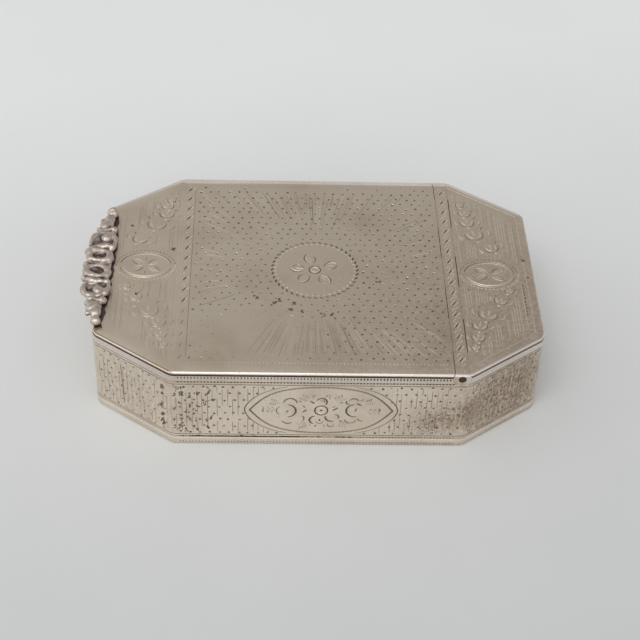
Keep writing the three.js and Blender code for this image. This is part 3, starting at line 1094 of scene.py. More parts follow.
def oval_frame(graver, oval):
    """An oval with a dotted border and four crossed leaves inside; its line and dots carry painted shade above,
    and a paler finish and a wider glint below.
    """
    half_u = size("oval_length") / 2
    half_v = size("oval_width") / 2
    steps = 64
    upper = slice(1, steps // 2)
    lower = slice(steps // 2 + 1, steps)
    line = ellipse(*oval, half_u, half_v, steps)
    glint = ellipse(*oval, half_u - 0.36, half_v - 0.36, steps)
    # The line's upper half carries painted shade and its lower half a paler finish
    graver.stroke(line[upper], 0.17, 0.8, "shade", 0.1)
    graver.stroke(line[lower], 0.15, 0.8, "faint", 0.1)
    graver.stroke(glint[lower], 0.22, 0.5, "cut", 0.2)
    graver.stroke(glint[upper], 0.1, 0.5, "cut", 0.2)
    # Dots above the oval's middle carry painted shade, those below are left bright
    for x, y in ellipse(*oval, half_u + 0.6, half_v + 0.6, 46):
        graver.punch(x, y, 0.14, 0.09, "shade" if y > oval[1] else "cut", 6)
    for degrees in (32, 148, 212, 328):
        angle = math.radians(degrees)
        graver.stroke(leaf_side(*oval, angle, 0.35, 2.7, 0.5), 0.18, 0.6, "shade")
        graver.stroke(leaf_side(*oval, angle, 0.35, 2.7, -0.5), 0.22, 0.4, "cut")
        graver.stroke(leaf_side(*oval, angle, 0.8, 2.2, 0.0), 0.12, 0.4, "cut")
    for i in range(4):
        turn = i * math.pi / 2
        graver.dash(*polar(oval, 1.75, turn), turn, 1.1, 0.22, 0.4, "faint")


def hatched_ground(graver, end, oval, rng):
    """Fine upright hatching that stops short of the ornament."""
    slope = size("corner_cut_width") / size("corner_cut_length")
    corner_y = HALF_WIDTH - 1.9
    corner_x = HALF_LENGTH - size("corner_cut_length") - 0.6
    margin = 0.9

    def clear(x, y):
        du = (end * x - oval[0]) / (size("oval_length") / 2 + margin)
        dv = (y - oval[1]) / (size("oval_width") / 2 + margin)
        in_husk = any(math.hypot((x - u) / 1.5, y - v) < half * 1.4 for u, v, half, _ in HUSKS[end])
        return du * du + dv * dv > 1 and not in_husk

    step = 0.3
    count = int((PANEL_OUTER - PANEL_INNER) / size("hatch_pitch"))
    for i in range(count + 1):
        x = PANEL_INNER + i * size("hatch_pitch")
        limit = corner_y - max(0.0, x - corner_x) * slope
        begin = None
        ticks = int(2 * limit / step)
        for j in range(ticks + 1):
            y = -limit + j * step
            free = clear(x, y) and j < ticks
            if free and begin is None:
                begin = y + rng.uniform(0, 0.3)
            elif not free and begin is not None:
                if y - begin > 1.2:
                    finish, width = ("faint", 0.06) if rng.random() < 0.35 else ("cut", 0.1)
                    graver.stroke(straight(end * x, begin, end * x, y - step), width, 0.4, finish, 0.12)
                begin = None


def end_panel(graver, end, rng):
    """One end panel: oval, husk garlands and hatched ground. The end is -1 or 1."""
    oval = (end * OVAL[0], end * OVAL[1])
    oval_frame(graver, oval)
    for x, y, half, lean in HUSKS[end]:
        husk(graver, end * x, y, half, math.radians(end * lean), end < 0 and y < 0)
    hatched_ground(graver, end, oval, rng)


def rim_line(graver, start, end, inset=1.45):
    """A fine line round the rim between two points on the plan."""
    plan = Plan(inset)
    begin = plan.nearest(*start)
    finish = plan.nearest(*end)
    if finish < begin:
        finish += plan.total
    route = [tuple(plan.at(s)[0]) for s in plan.stations(begin, finish)]
    graver.stroke(route, 0.08, 0.6, "cut", 0.05)


# Ornament on the walls


# Heights of the wall's punched field, and of the milled rows and the lines above and below it
FIELD_BOTTOM = 2.25
FIELD_TOP = 13.0
UPPER_TICKS = 14.36
UPPER_DOTS = 13.5
LOWER_DOTS = 1.8
LOWER_LINE = 1.38
BASE_TICKS = 0.58
# The milled rows are darker from here towards the hinge end
SOIL_START = 6.0
# The navettes' height on the wall, and how far they lie off the wall's middle
NAVETTE_LEVEL = 7.66
NAVETTE_SHIFT = 0.3
# Distance between a navette's two lines
NAVETTE_BORDER = 0.62
# Arcs of a navette's flowers as (u, v, radius, first and last angle in degrees, width, finish)
NAVETTE_ARCS = (
    (0.05, 1.8, 0.8, 169, -59, 0.31, "tarnish"), (0.1, 1.7, 0.42, 144, -14, 0.23, "shade"),
    (-0.95, -2.1, 0.8, 86, 264, 0.32, "tarnish"), (-0.2, -2.3, 0.56, 186, 359, 0.23, "shade"),
    (1.58, -1.4, 0.93, 161, 299, 0.31, "tarnish"), (2.2, -1.4, 0.52, 114, -54, 0.25, "tarnish"),
    (1.8, 2.8, 0.6, 20, 250, 0.16, "faint"), (-1.8, 2.85, 0.56, -60, 160, 0.16, "faint"),
    (1.55, -3.05, 0.5, 150, 360, 0.21, "shade"), (-2.1, -2.95, 0.5, 180, 380, 0.16, "faint"),
    (-5.2, -0.15, 1.32, 96, -96, 0.32, "tarnish"), (-4.75, 1.5, 1.02, 184, -9, 0.25, "tarnish"),
    (-5.1, -2.0, 0.9, 191, 324, 0.25, "tarnish"), (-5.85, -0.1, 1.0, 110, 250, 0.17, "shade"),
    (-3.25, -1.8, 0.65, 60, -60, 0.21, "shade"), (-7.5, 0.85, 0.75, 200, 320, 0.16, "faint"),
    (-7.5, -0.85, 0.75, 160, 40, 0.16, "faint"), (-8.4, 0.0, 0.55, 120, 240, 0.17, "shade"),
    (5.15, 0.0, 1.32, 84, 292, 0.32, "tarnish"), (4.15, 1.8, 0.4, 116, 304, 0.23, "tarnish"),
    (4.95, 1.85, 0.75, 159, 11, 0.25, "tarnish"), (4.55, -1.75, 0.93, 181, 349, 0.23, "shade"),
    (6.3, -1.6, 0.65, 180, 300, 0.21, "shade"), (7.55, 0.65, 0.82, 220, 340, 0.16, "faint"),
    (7.65, -0.75, 0.82, 150, 30, 0.16, "faint"), (8.45, 0.1, 0.55, -60, 60, 0.17, "shade"),
)
# Short cuts of a navette's flowers as (u, v, direction in degrees, reach, width, finish)
NAVETTE_DASHES = (
    (-1.4, 1.75, -38, 1.05, 0.3, "tarnish"), (-2.55, -0.15, 45, 1.05, 0.29, "tarnish"),
    (-2.65, 0.8, -60, 0.75, 0.21, "shade"), (2.15, 0.3, 40, 1.3, 0.3, "tarnish"),
    (1.9, 0.8, 35, 0.8, 0.2, "shade"), (5.75, 1.35, -30, 1.15, 0.29, "tarnish"),
    (-5.2, -0.3, 60, 0.9, 0.24, "shade"), (5.3, 0.15, 75, 0.9, 0.24, "shade"),
    (-0.2, -2.1, 90, 0.55, 0.27, "tarnish"), (0.8, 3.15, 50, 0.8, 0.2, "shade"),
    (-1.0, 3.15, 130, 0.8, 0.2, "faint"), (3.05, 1.7, 30, 0.8, 0.24, "shade"),
    (-3.25, 1.9, -30, 0.75, 0.22, "shade"), (-0.8, -3.4, 60, 0.65, 0.24, "shade"),
    (0.55, -3.35, 120, 0.55, 0.2, "faint"), (3.05, -2.3, -40, 0.75, 0.22, "shade"),
    (6.65, 0.55, 20, 0.8, 0.2, "faint"), (-6.6, 1.45, 150, 0.8, 0.2, "faint"),
    (-6.5, -1.5, 210, 0.8, 0.2, "faint"), (6.2, 2.3, 35, 0.8, 0.24, "shade"),
)
# Sprays of small leaves in a navette as (u, v, direction in degrees, reach)
NAVETTE_SPRAYS = (
    (-6.9, 0.1, 178, 2.3), (6.9, -0.1, -4, 2.3), (1.9, 2.1, 28, 1.7), (-1.8, 2.2, 150, 1.5),
    (2.6, -2.7, -20, 1.6), (-2.0, -2.9, 200, 1.6), (-6.6, 1.5, 165, 1.2), (6.7, 1.6, 20, 1.2),
)


def round_the_wall(plan):
    """Place on the wall's outer face, by distance round the plan, height and lift."""

    def place(s, v, lift):
        point, outward = plan.at(s)
        return (*(point + outward * lift), v)

    return place


def navette_height(share, point=0.45):
    """Height of the pointed oval at a share of its half length, as a share of its half height."""
    return (1 - share * share) ** (0.45 + point * share ** 4)


def navette_edge(middle, shrink=0.0, point=0.45, steps=28):
    """Outline of the pointed oval on a long wall."""
    half = size("navette_length") / 2 - shrink * 1.25
    rise = size("navette_height") / 2 - shrink
    shares = [math.cos(math.pi * i / steps) for i in range(steps + 1)]
    upper = [(half * share, rise * navette_height(share, point)) for share in shares]
    outline = upper + [(u, -v) for u, v in reversed(upper[1:-1])]
    return [(middle + u, NAVETTE_LEVEL + v) for u, v in outline]


def inside_navette(u, v, margin):
    """Whether a place on a long wall lies within the navette's outer line and a margin."""
    margin += NAVETTE_BORDER
    share = min(abs(u) / (size("navette_length") / 2 + margin), 1.0)
    rise = size("navette_height") / 2 + margin
    return abs(v - NAVETTE_LEVEL) < rise * navette_height(share)


def spray(graver, u, v, direction, reach):
    """A stem with three pairs of small leaves."""
    graver.stroke(straight(u, v, *polar((u, v), reach, direction)), 0.14, 0.6, "faint")
    for i in range(3):
        foot = polar((u, v), reach * (0.2 + 0.3 * i), direction)
        for side, finish in ((-1, "faint"), (1, "shade")):
            turn = direction + side * math.radians(52)
            graver.stroke(leaf_side(*foot, turn, 0.12, 0.75, side * 0.16, 8), 0.15, 0.6, finish)


def navette(graver, middle):
    """Pointed oval with a milled line, a second line round its tips, three flowers and sprays."""
    graver.loop(navette_edge(middle), 0.28, 0.7, "shade")
    edge = navette_edge(middle, steps=104)
    for i in range(1, len(edge) - 1, 2):
        along = math.atan2(edge[i + 1][1] - edge[i - 1][1], edge[i + 1][0] - edge[i - 1][0])
        graver.dash(*edge[i], along + math.radians(75), 0.48, 0.18, 0.7, "tarnish")
    outer = navette_edge(middle, -NAVETTE_BORDER, 0.12, 60)
    for side in (-1, 1):
        tip = [place for place in outer if side * (place[0] - middle) > 4.6]
        tip.sort(key=lambda place: place[1] if side < 0 else -place[1])
        graver.stroke(tip, 0.2, 0.8, "shade", 0.2)
    heart = (middle, NAVETTE_LEVEL)
    graver.loop(ellipse(*heart, 0.98, 0.98, 36), 0.24)
    graver.loop(ellipse(*heart, 0.6, 0.6, 24), 0.2, 0.5, "cut")
    graver.punch(*heart, 0.24, 0.12, "shade")
    for u, v, radius, first, last, width, finish in NAVETTE_ARCS:
        place = (heart[0] + u, heart[1] + v)
        graver.stroke(arc(*place, radius, first, last, 16), width, 0.8, finish, 0.4)
        if width > 0.25 and radius > 0.7:
            graver.stroke(arc(*place, radius - 0.36, first, last), 0.2, 0.5, "cut", 0.8)
    for u, v, degrees, reach, width, finish in NAVETTE_DASHES:
        graver.dash(heart[0] + u, heart[1] + v, math.radians(degrees), reach, width, 0.8, finish)
    for u, v, degrees, reach in NAVETTE_SPRAYS:
        spray(graver, heart[0] + u, heart[1] + v, math.radians(degrees), reach)


# The front corner cut that wear has smoothed most and the one that has darkened most
WORN_CORNER = "left"
SOILED_CORNER = "right"
# Distance between the wall's dots along a row, and the number of rows
WALL_DOT_PITCH = 1.5
WALL_DOT_ROWS = 8
# Distance between the wall's upright lines, the lengths that they start with and the shortest one
WALL_LINE_PITCH = 0.78
LINE_REACHES = (3.0, 5.0, 11.0)
SHORTEST_LINE = 0.8
# How far the dots and the lines stay inside the wall's field, and clear of a navette
DOT_MARGIN = 0.5
DOT_CLEARANCE = 0.35
LINE_MARGIN = 0.25
# Finish and width of the wall's upright lines, as often as they occur
WALL_LINES = (("faint", 0.11),) * 4 + (("cut", 0.1),) * 3 + (("shade", 0.09),) * 3 + (("tarnish", 0.08),)
SOILED_LINES = (("faint", 0.13),) * 3 + (("shade", 0.11),) * 4 + (("tarnish", 0.08),) + (("cut", 0.1),)


def front_corner(plan, s):
    """Which front corner cut a place round the wall lies on, or None."""
    point, _ = plan.at(s)
    in_front = point.y < size("corner_cut_width") - HALF_WIDTH
    if not in_front or abs(point.x) <= HALF_LENGTH - size("corner_cut_length"):
        return None
    return WORN_CORNER if point.x < 0 else SOILED_CORNER


def wall_field(graver, plan, navettes, rng):
    """Punched dots and broken upright lines all round the wall, with more lines where it is soiled."""
    columns = round(plan.total / WALL_DOT_PITCH)
    row_pitch = (FIELD_TOP - FIELD_BOTTOM - 2 * DOT_MARGIN) / (WALL_DOT_ROWS - 1)

    def in_navette(s, v, margin):
        gaps = [(s - middle + plan.total / 2) % plan.total - plan.total / 2 for middle in navettes]
        return any(inside_navette(gap, v, margin) for gap in gaps)

    def crosses_navette(s, v, reach):
        return any(in_navette(s, v + reach * share / 8, LINE_MARGIN) for share in range(9))

    for row in range(WALL_DOT_ROWS):
        for column in range(columns):
            s = (column + row % 2 / 2) * plan.total / columns + rng.uniform(-0.18, 0.18)
            v = FIELD_BOTTOM + DOT_MARGIN + row * row_pitch + rng.uniform(-0.15, 0.15)
            worn = front_corner(plan, s) == WORN_CORNER
            radius = size("punch_radius") * rng.uniform(0.75, 1.1) * (0.92 if worn else 1.0)
            finish = "tarnish" if rng.random() < 0.75 else "shade"
            if not plan.on_corner(s) and not in_navette(s, v, DOT_CLEARANCE):
                lip = "cut" if rng.random() < 0.3 else None
                graver.punch(s, v, radius, size("punch_depth"), finish, turn=rng.uniform(0, 1), lip=lip)
    lines = 2 * round(plan.total / WALL_LINE_PITCH)
    for i in range(lines):
        s = (i + rng.uniform(-0.2, 0.2)) * plan.total / lines
        v = FIELD_BOTTOM + LINE_MARGIN
        soiled = front_corner(plan, s) == SOILED_CORNER
        while v < FIELD_TOP - SHORTEST_LINE and (i % 2 or soiled):
            reach = min(rng.choice(LINE_REACHES), FIELD_TOP - LINE_MARGIN - v)
            while reach > SHORTEST_LINE and crosses_navette(s, v, reach):
                reach -= 0.4
            finish, width = rng.choice(SOILED_LINES if soiled else WALL_LINES)
            if reach > SHORTEST_LINE:
                graver.stroke(straight(s, v, s, v + reach, 6), width, 0.6, finish, 0.2)
            v += max(reach, 0.4) + rng.uniform(0.1, 0.4)


def milled_ticks(plan):
    """Distances round the wall where the milled rows still show their ticks."""
    count = round(plan.total / size("milled_pitch"))
    places = [i * plan.total / count for i in range(count)]
    return [s for s in places if not (plan.on_corner(s) or front_corner(plan, s))]


def milled_rows(graver, plan):
    """Rows of ticks and dots and the lines that run with them, all round the wall."""
    for s in milled_ticks(plan):
        soiled = plan.at(s)[0].x > SOIL_START
        finish = "tarnish" if soiled else "shade"
        graver.dash(s, UPPER_TICKS, math.pi / 2, 0.55, 0.3 if soiled else 0.2, 0.7, finish)
        graver.punch(s, UPPER_DOTS, 0.19, 0.14, sides=6)
        graver.punch(s, LOWER_DOTS, 0.165, 0.12, finish, 6)
    lines = (
        (UPPER_DOTS, 0.16, "shade"),
        (FIELD_TOP, 0.16, "tarnish"),
        (FIELD_BOTTOM, 0.15, "tarnish"),
        (LOWER_DOTS, 0.14, "shade"),
        (LOWER_LINE, 0.1, "cut"),
    )
    for level, width, finish in lines:
        graver.loop([(s, level) for s in plan.stations(0, plan.total)[:-1]], width, 0.8, finish)


# Columns of pits on the front wall, by their distance from its middle
PIT_COLUMNS = (-22.0, -21.3, -20.9, -20.3, -19.7, -19.2, -18.7, -17.2, -16.6)
# Number of cuts among these columns, and the heights between which they lie
PIT_CUTS = 52
PIT_HEIGHTS = (2.9, 12.5)
# The column of pits beside the front wall's left corner and a scratch beyond it, counted likewise
CORNER_COLUMN = -24.3
SCRATCH = -32.0
SCRATCH_HEIGHTS = (2.9, 12.2)
# Clusters of pits in the column beside the corner as (height, spread)
CORNER_PITS = ((11.6, 0.4), (10.1, 0.4), (7.6, 0.5), (5.6, 0.5), (4.3, 0.7), (3.6, 0.5))
# Fine pits at the front wall's right, with places and heights as (least, most, commonest)
FINE_PITS = 60
FINE_PIT_PLACES = (13, 22, 18)
FINE_PIT_HEIGHTS = (2.6, 11, 4)


def corroded_patch(graver, middle, rng):
    """Pits at both ends of the front wall and along its left corner, with a scratch beyond it."""
    for _ in range(PIT_CUTS):
        s = middle + rng.choice(PIT_COLUMNS) + rng.uniform(-0.2, 0.2)
        v = rng.uniform(*PIT_HEIGHTS)
        angle = math.radians(rng.uniform(50, 140))
        graver.dash(s, v, angle, rng.uniform(0.4, 0.9), rng.uniform(0.16, 0.3), 0.8)
        for _ in range(2):
            place = (s + rng.uniform(-0.4, 0.4), v + rng.uniform(-0.4, 0.4))
            graver.pit(*place, rng.uniform(0.09, 0.22), rng)
    corner = middle + CORNER_COLUMN
    for level, span in CORNER_PITS:
        s = corner + rng.uniform(-0.2, 0.2)
        graver.dash(s, level, math.radians(65), 2.2 * span, 0.36, 0.8)
        for _ in range(7):
            place = (corner + rng.uniform(-0.4, 0.4), level + rng.uniform(-span, span))
            graver.pit(*place, rng.uniform(0.2, 0.4), rng)
    scratch = middle + SCRATCH
    low, high = SCRATCH_HEIGHTS
    graver.stroke(straight(scratch, low, scratch - 0.3, high, 12), 0.15, 0.8, "tarnish", 0.2)
    for _ in range(FINE_PITS):
        s = middle + rng.triangular(*FINE_PIT_PLACES)
        v = rng.triangular(*FINE_PIT_HEIGHTS)
        graver.pit(s, v, rng.uniform(0.05, 0.14), rng)


# Scrollwork of the thumbpiece


# Wires as (along, out, rise, radius): along from the middle, out from the lid's edge, rise from its face
RIDGE = ((3.5, 2.0, 0.65, 0.45), (4.1, 0.9, 0.9, 0.5), (4.35, -0.5, 0.95, 0.52), (4.5, -1.7, 0.75, 0.5))
SCROLL = (
    (4.6, -1.85, 0.7, 0.5), (6.0, -2.0, 0.8, 0.52), (7.35, -1.35, 0.85, 0.45), (7.75, -0.1, 0.85, 0.42),
    (7.2, 1.15, 0.8, 0.48), (6.0, 1.75, 0.75, 0.52), (4.7, 1.75, 0.65, 0.42),
)
CROSSBAR = ((8.0, 0.95, 0.6, 0.36), (8.4, 0.1, 0.8, 0.38), (8.7, -1.2, 0.75, 0.36))
SIDE_WIRES = (RIDGE, SCROLL, CROSSBAR)
# Balls as (along, out, rise, half along, half out, half height)
SIDE_BALLS = (
    (3.35, 2.05, 0.65, 0.55, 0.5, 0.55),
    (4.3, -1.75, 0.75, 0.75, 0.65, 0.65),
    (6.35, -0.6, 0.8, 1.0, 1.0, 0.85),
    (8.65, -1.5, 0.8, 0.62, 0.6, 0.62),
    (9.0, 0.85, 0.5, 0.5, 0.45, 0.45),
    (10.1, -0.2, 0.6, 1.25, 1.0, 0.75),
    (11.4, -0.65, 0.6, 1.2, 0.85, 0.72),
    (11.3, 0.45, 0.5, 0.45, 0.4, 0.42),
    (13.3, -0.95, 0.72, 0.95, 0.86, 0.78),
)
MIDDLE_BALLS = ((0.0, 1.9, 0.68, 0.58, 0.58, 0.56), (1.95, 0.25, 0.45, 0.6, 0.55, 0.5))
# The two rings in the middle as (along, out, rise, radius, radius of the wire)
RING = (1.9, 0.1, 0.8, 1.3, 0.52)
RING_STRETCH = (1.3, 1.0, 1.3)
RING_TURN = math.radians(-14)
# The casting's back and the dark film under it, solder and dirt that also serve as a painted shadow, as (half
# length, outer edge, inner edge, thickness, ripple)
BACK = (13.0, (1.9, -2.5), (-1.9, 0.95), 0.8, 0.0)
SHADOW_SEAM = (14.1, (-0.9, 0.0), (-2.4, 0.6), 0.05, 0.12)
# The casting sits a little askew and towards the front
ASKEW = 0.022
SET_OUT = 0.1
SET_FORWARD = 0.3
# Soil and painted shade at the casting's foot, and the height over which they fade
FOOT_SOIL_AND_SHADE = 1.15
FOOT_HEIGHT = 0.6


def thumb_place(along, out, rise):
    return Vector((-HALF_LENGTH - out - SET_OUT + ASKEW * along, along - SET_FORWARD, TOP + rise))


def cast_ball(along, out, rise, half_along, half_out, half_rise):
    deselect()
    bpy.ops.mesh.primitive_uv_sphere_add(
        segments=24,
        ring_count=16,
        radius=1,
        location=thumb_place(along, out, rise),
        scale=(half_out, half_along, half_rise),
    )
    return bpy.context.object


def cast_ring(along, out, rise, radius, wire):
    deselect()
    bpy.ops.mesh.primitive_torus_add(
        major_radius=radius,
        minor_radius=wire,
        major_segments=48,
        minor_segments=20,
        location=thumb_place(along, out, rise),
    )
    ring = bpy.context.object
    ring.scale = RING_STRETCH
    ring.rotation_euler.z = RING_TURN
    return ring


def cast_wire(route):
    """A round wire of changing thickness, as a closed mesh."""
    curve = bpy.data.curves.new("wire", "CURVE")
    curve.dimensions = "3D"
    curve.bevel_depth = 1.0
    curve.bevel_resolution = 6
    curve.use_fill_caps = True
    spline = curve.splines.new("BEZIER")
    spline.bezier_points.add(len(route) - 1)
    for point, (along, out, rise, radius) in zip(spline.bezier_points, route):
        point.co = thumb_place(along, out, rise)
        point.radius = radius
        point.handle_left_type = "AUTO"
        point.handle_right_type = "AUTO"
    wire = bpy.data.objects.new("wire", curve)
    bpy.context.scene.collection.objects.link(wire)
    activate(wire)
    bpy.ops.object.convert(target="MESH")
    return bpy.context.object


def crescent(name, half, outer, inner, thickness, wave, steps=72):
    """A flat crescent on the lid between two edges, each as (out in the middle, change to the ends)."""
    alongs = [half * (2 * i / steps - 1) for i in range(steps + 1)]
    outline = [(along, outer[0] + outer[1] * (along / half) ** 2) for along in alongs]
    for along in reversed(alongs):
        ripple = wave * (math.sin(1.9 * along + 0.6) + 0.6 * math.sin(3.7 * along))
        outline.append((along, inner[0] + inner[1] * (along / half) ** 2 + ripple))
    count = len(outline)
    points = [thumb_place(along, out, rise) for rise in (0.0, thickness) for along, out in outline]
    faces = [list(range(count)), list(range(2 * count - 1, count - 1, -1))]
    faces += [(i, (i + 1) % count, count + (i + 1) % count, count + i) for i in range(count)]
    return mesh_piece(name, points, faces)


def store_soil_and_shade(piece, reach=1.4, rays=24):
    """Store on each point how far the casting and the lid under it shelter it, and how near it lies to the lid:
    tarnish that wiping misses, and painted shade in the recesses and at the foot.
    """
    mesh = piece.data
    points = [vert.co.copy() for vert in mesh.vertices]
    faces = [list(face.vertices) for face in mesh.polygons]
    lid = len(points)
    outline = ((-HALF_LENGTH, -20), (0, -20), (0, 20), (-HALF_LENGTH, 20))
    points += [Vector((x, y, TOP)) for x, y in outline]
    faces.append([lid, lid + 1, lid + 2, lid + 3])
    tree = BVHTree.FromPolygons(points, faces)
    rng = random.Random(2)
    directions = [Vector([rng.gauss(0, 1) for _ in range(3)]).normalized() for _ in range(rays)]
    soil_and_shade = []
    for vert in mesh.vertices:
        start = vert.co + vert.normal * 0.03
        hits = 0
        for direction in directions:
            ray = direction if direction.dot(vert.normal) > 0 else -direction
            hits += tree.ray_cast(start, ray, reach)[0] is not None
        # Points near the lid are darkened as painted shade under the casting
        foot = FOOT_SOIL_AND_SHADE - (vert.co.z - TOP) / FOOT_HEIGHT
        soil_and_shade.append(min(max(hits / rays, foot), 1.0))
    mesh.attributes.new("soil_and_shade", "FLOAT", "POINT").data.foreach_set("value", soil_and_shade)


# Operators, one for each piece or group of like pieces


class SNUFFBOX_OT_stage(bpy.types.Operator):
    """Set up the floor, the soft light and the camera"""

    bl_idname = "snuffbox.stage"
    bl_label = "Stage"

    # The camera's angles in degrees, its place and lens in millimetres
    CAMERA_AZIMUTH = -2.86
    CAMERA_ELEVATION = 42.18
    CAMERA_ROLL = 2.62
    CAMERA_DISTANCE = 263.3
    CAMERA_TARGET = Vector((0.95, 5.06, 0.0))
    LENS = 86.93
    SENSOR = 36.0
    # Side of the floor in metres
    FLOOR_SIDE = 3.0
    # The sky grows from dim to bright towards one side, with a glow above the horizon
    BRIGHT_SIDE = Vector((-0.4, -0.75, 0.4))
    SIDE_REACH = (-0.6, 1.0)
    SIDE_SKY = (0.31, 0.92)
    GLOW_REACH = (0.05, 0.7)
    GLOW_SKY = (0.45, 0.0)
    # Lamps as (name, place, side, watts), with lengths in metres
    LAMPS = (
        ("window", (-0.25, -0.4, 0.85), 0.45, 2.2),
        ("overhead", (0.05, 0.0, 0.9), 0.16, 0.1),
    )

    def execute(self, context):
        make_finishes()
        self.floor()
        self.light(context)
        self.camera(context)
        return {"FINISHED"}

    def floor(self):
        deselect()
        bpy.ops.mesh.primitive_plane_add(size=self.FLOOR_SIDE, location=(0, 0, 0))
        floor = bpy.context.object
        floor.name = "floor"
        floor.data.materials.append(FINISHES["floor"])

    def light(self, context):
        world = bpy.data.worlds.new("soft_room")
        world.use_nodes = True
        tree = world.node_tree
        side = self.sky(tree, self.BRIGHT_SIDE, self.SIDE_REACH, self.SIDE_SKY)
        low = self.sky(tree, Vector((0, 0, 1)), self.GLOW_REACH, self.GLOW_SKY)
        total = tree.nodes.new("ShaderNodeMath")
        tree.links.new(side, total.inputs[0])
        tree.links.new(low, total.inputs[1])
        background = tree.nodes["Background"]
        background.inputs["Color"].default_value = tint("sky")
        tree.links.new(total.outputs["Value"], background.inputs["Strength"])
        context.scene.world = world
        context.scene.view_settings.view_transform = "Standard"
        for lamp in self.LAMPS:
            self.area(*lamp)

    def sky(self, tree, direction, reach, strength):
        """Strength of the sky that changes smoothly along a direction."""
        toward = tree.nodes.new("ShaderNodeVectorMath")
        toward.operation = "DOT_PRODUCT"
        toward.inputs[1].default_value = direction.normalized()
        tree.links.new(tree.nodes.new("ShaderNodeTexCoord").outputs["Generated"], toward.inputs[0])
        ramp = tree.nodes.new("ShaderNodeMapRange")
        ramp.interpolation_type = "SMOOTHSTEP"
        for key, value in zip(("From Min", "From Max", "To Min", "To Max"), (*reach, *strength)):
            ramp.inputs[key].default_value = value
        tree.links.new(toward.outputs["Value"], ramp.inputs["Value"])
        return ramp.outputs["Result"]

    def area(self, name, place, side, watts):
        lamp = bpy.data.lights.new(name, "AREA")
        lamp.shape = "SQUARE"
        lamp.size = side
        lamp.energy = watts
        holder = bpy.data.objects.new(name, lamp)
        holder.location = place
        holder.rotation_euler = (-Vector(place)).to_track_quat("-Z", "Y").to_euler()
        bpy.context.scene.collection.objects.link(holder)

    def camera(self, context):
        azimuth = math.radians(self.CAMERA_AZIMUTH)
        elevation = math.radians(self.CAMERA_ELEVATION)
        roll = math.radians(self.CAMERA_ROLL)
        back = Vector((
            math.sin(azimuth) * math.cos(elevation),
            -math.cos(azimuth) * math.cos(elevation),
            math.sin(elevation),
        ))
        right = Vector((0, 0, 1)).cross(back).normalized()
        up = back.cross(right)
        across = right * math.cos(roll) + up * math.sin(roll)
        upward = up * math.cos(roll) - right * math.sin(roll)
        turn = Matrix((across, upward, back)).transposed().to_4x4()
        place = (self.CAMERA_TARGET + back * self.CAMERA_DISTANCE) * MM
        data = bpy.data.cameras.new("photo_view")
        data.sensor_width = self.SENSOR
        data.lens = self.LENS
        data.clip_start = 0.01
        camera = bpy.data.objects.new("photo_view", data)
        camera.matrix_world = Matrix.Translation(place) @ turn
        context.scene.collection.objects.link(camera)
        context.scene.camera = camera


class SNUFFBOX_OT_base_plate(bpy.types.Operator):
    """Model the base with its rounded lower rim"""

    bl_idname = "snuffbox.base_plate"
    bl_label = "Base plate"

    def execute(self, context):
        base = octagon_block("base", BASE_LOW.z, BASE_HIGH.z)
        round_rim(base, BASE_LOW.z, size("base_rim"))
        base.data.materials.append(FINISHES["silver"])
        paint_faces(base, FINISHES["gilding"], lambda face: face.normal.z > 0.5)
        plan = Plan()
        graver = Graver(round_the_wall(plan))
        for s in milled_ticks(plan):
            graver.dash(s, BASE_TICKS, math.pi / 2, 0.34, 0.2, 0.6, "shade")
        graver.cut_into(base)
        finish_piece(base, "base_plate")
        return {"FINISHED"}


class SNUFFBOX_OT_side_wall(bpy.types.Operator):
    """Model the wall, notch it for the hinge and engrave it"""

    bl_idname = "snuffbox.side_wall"
    bl_label = "Side wall"

    # Heights between which the wall is polished as (low, high)
    POLISHED_BANDS = ((UPPER_DOTS + 0.05, UPPER_TICKS - 0.16), (0.9, LOWER_DOTS - 0.1))

    def execute(self, context):
        wall = octagon_block("wall", WALL_LOW.z, WALL_HIGH.z)
        wall.data.materials.append(FINISHES["wall"])
        core = octagon_block("core", WALL_LOW.z - 1, WALL_HIGH.z + 1, size("wall_thickness"))
        core.data.materials.append(FINISHES["gilding"])
        boolean(wall, core)
        channel = hinge_channel("box")
        channel.data.materials.append(FINISHES["silver"])
        boolean(wall, channel)
        plan = Plan()
        # The wall's top face gets the shaded-cut finish: some tarnish, and painted shade that darkens the gap
        # under the lid
        paint_faces(wall, FINISHES["shade"], lambda face: face.normal.z > 0.5)
        middles = [plan.nearest(0, side * HALF_WIDTH) + NAVETTE_SHIFT for side in (-1, 1)]
        graver = Graver(round_the_wall(plan))
        rng = random.Random(11)
        for middle in middles:
            navette(graver, middle)
        milled_rows(graver, plan)
        wall_field(graver, plan, middles, rng)
        corroded_patch(graver, middles[0] - NAVETTE_SHIFT, rng)
        graver.cut_into(wall)
        self.polish_bands(wall)
        finish_piece(wall, "side_wall")
        return {"FINISHED"}

    def polish_bands(self, wall):
        """Polish the plain bands beside the milled rows, which stand out and are rubbed most."""
        outer = wall.data.materials.find(FINISHES["wall"].name)

        def on_band(face):
            in_band = any(low < face.center.z < high for low, high in self.POLISHED_BANDS)
            return face.material_index == outer and in_band

        paint_faces(wall, FINISHES["rim"], on_band)


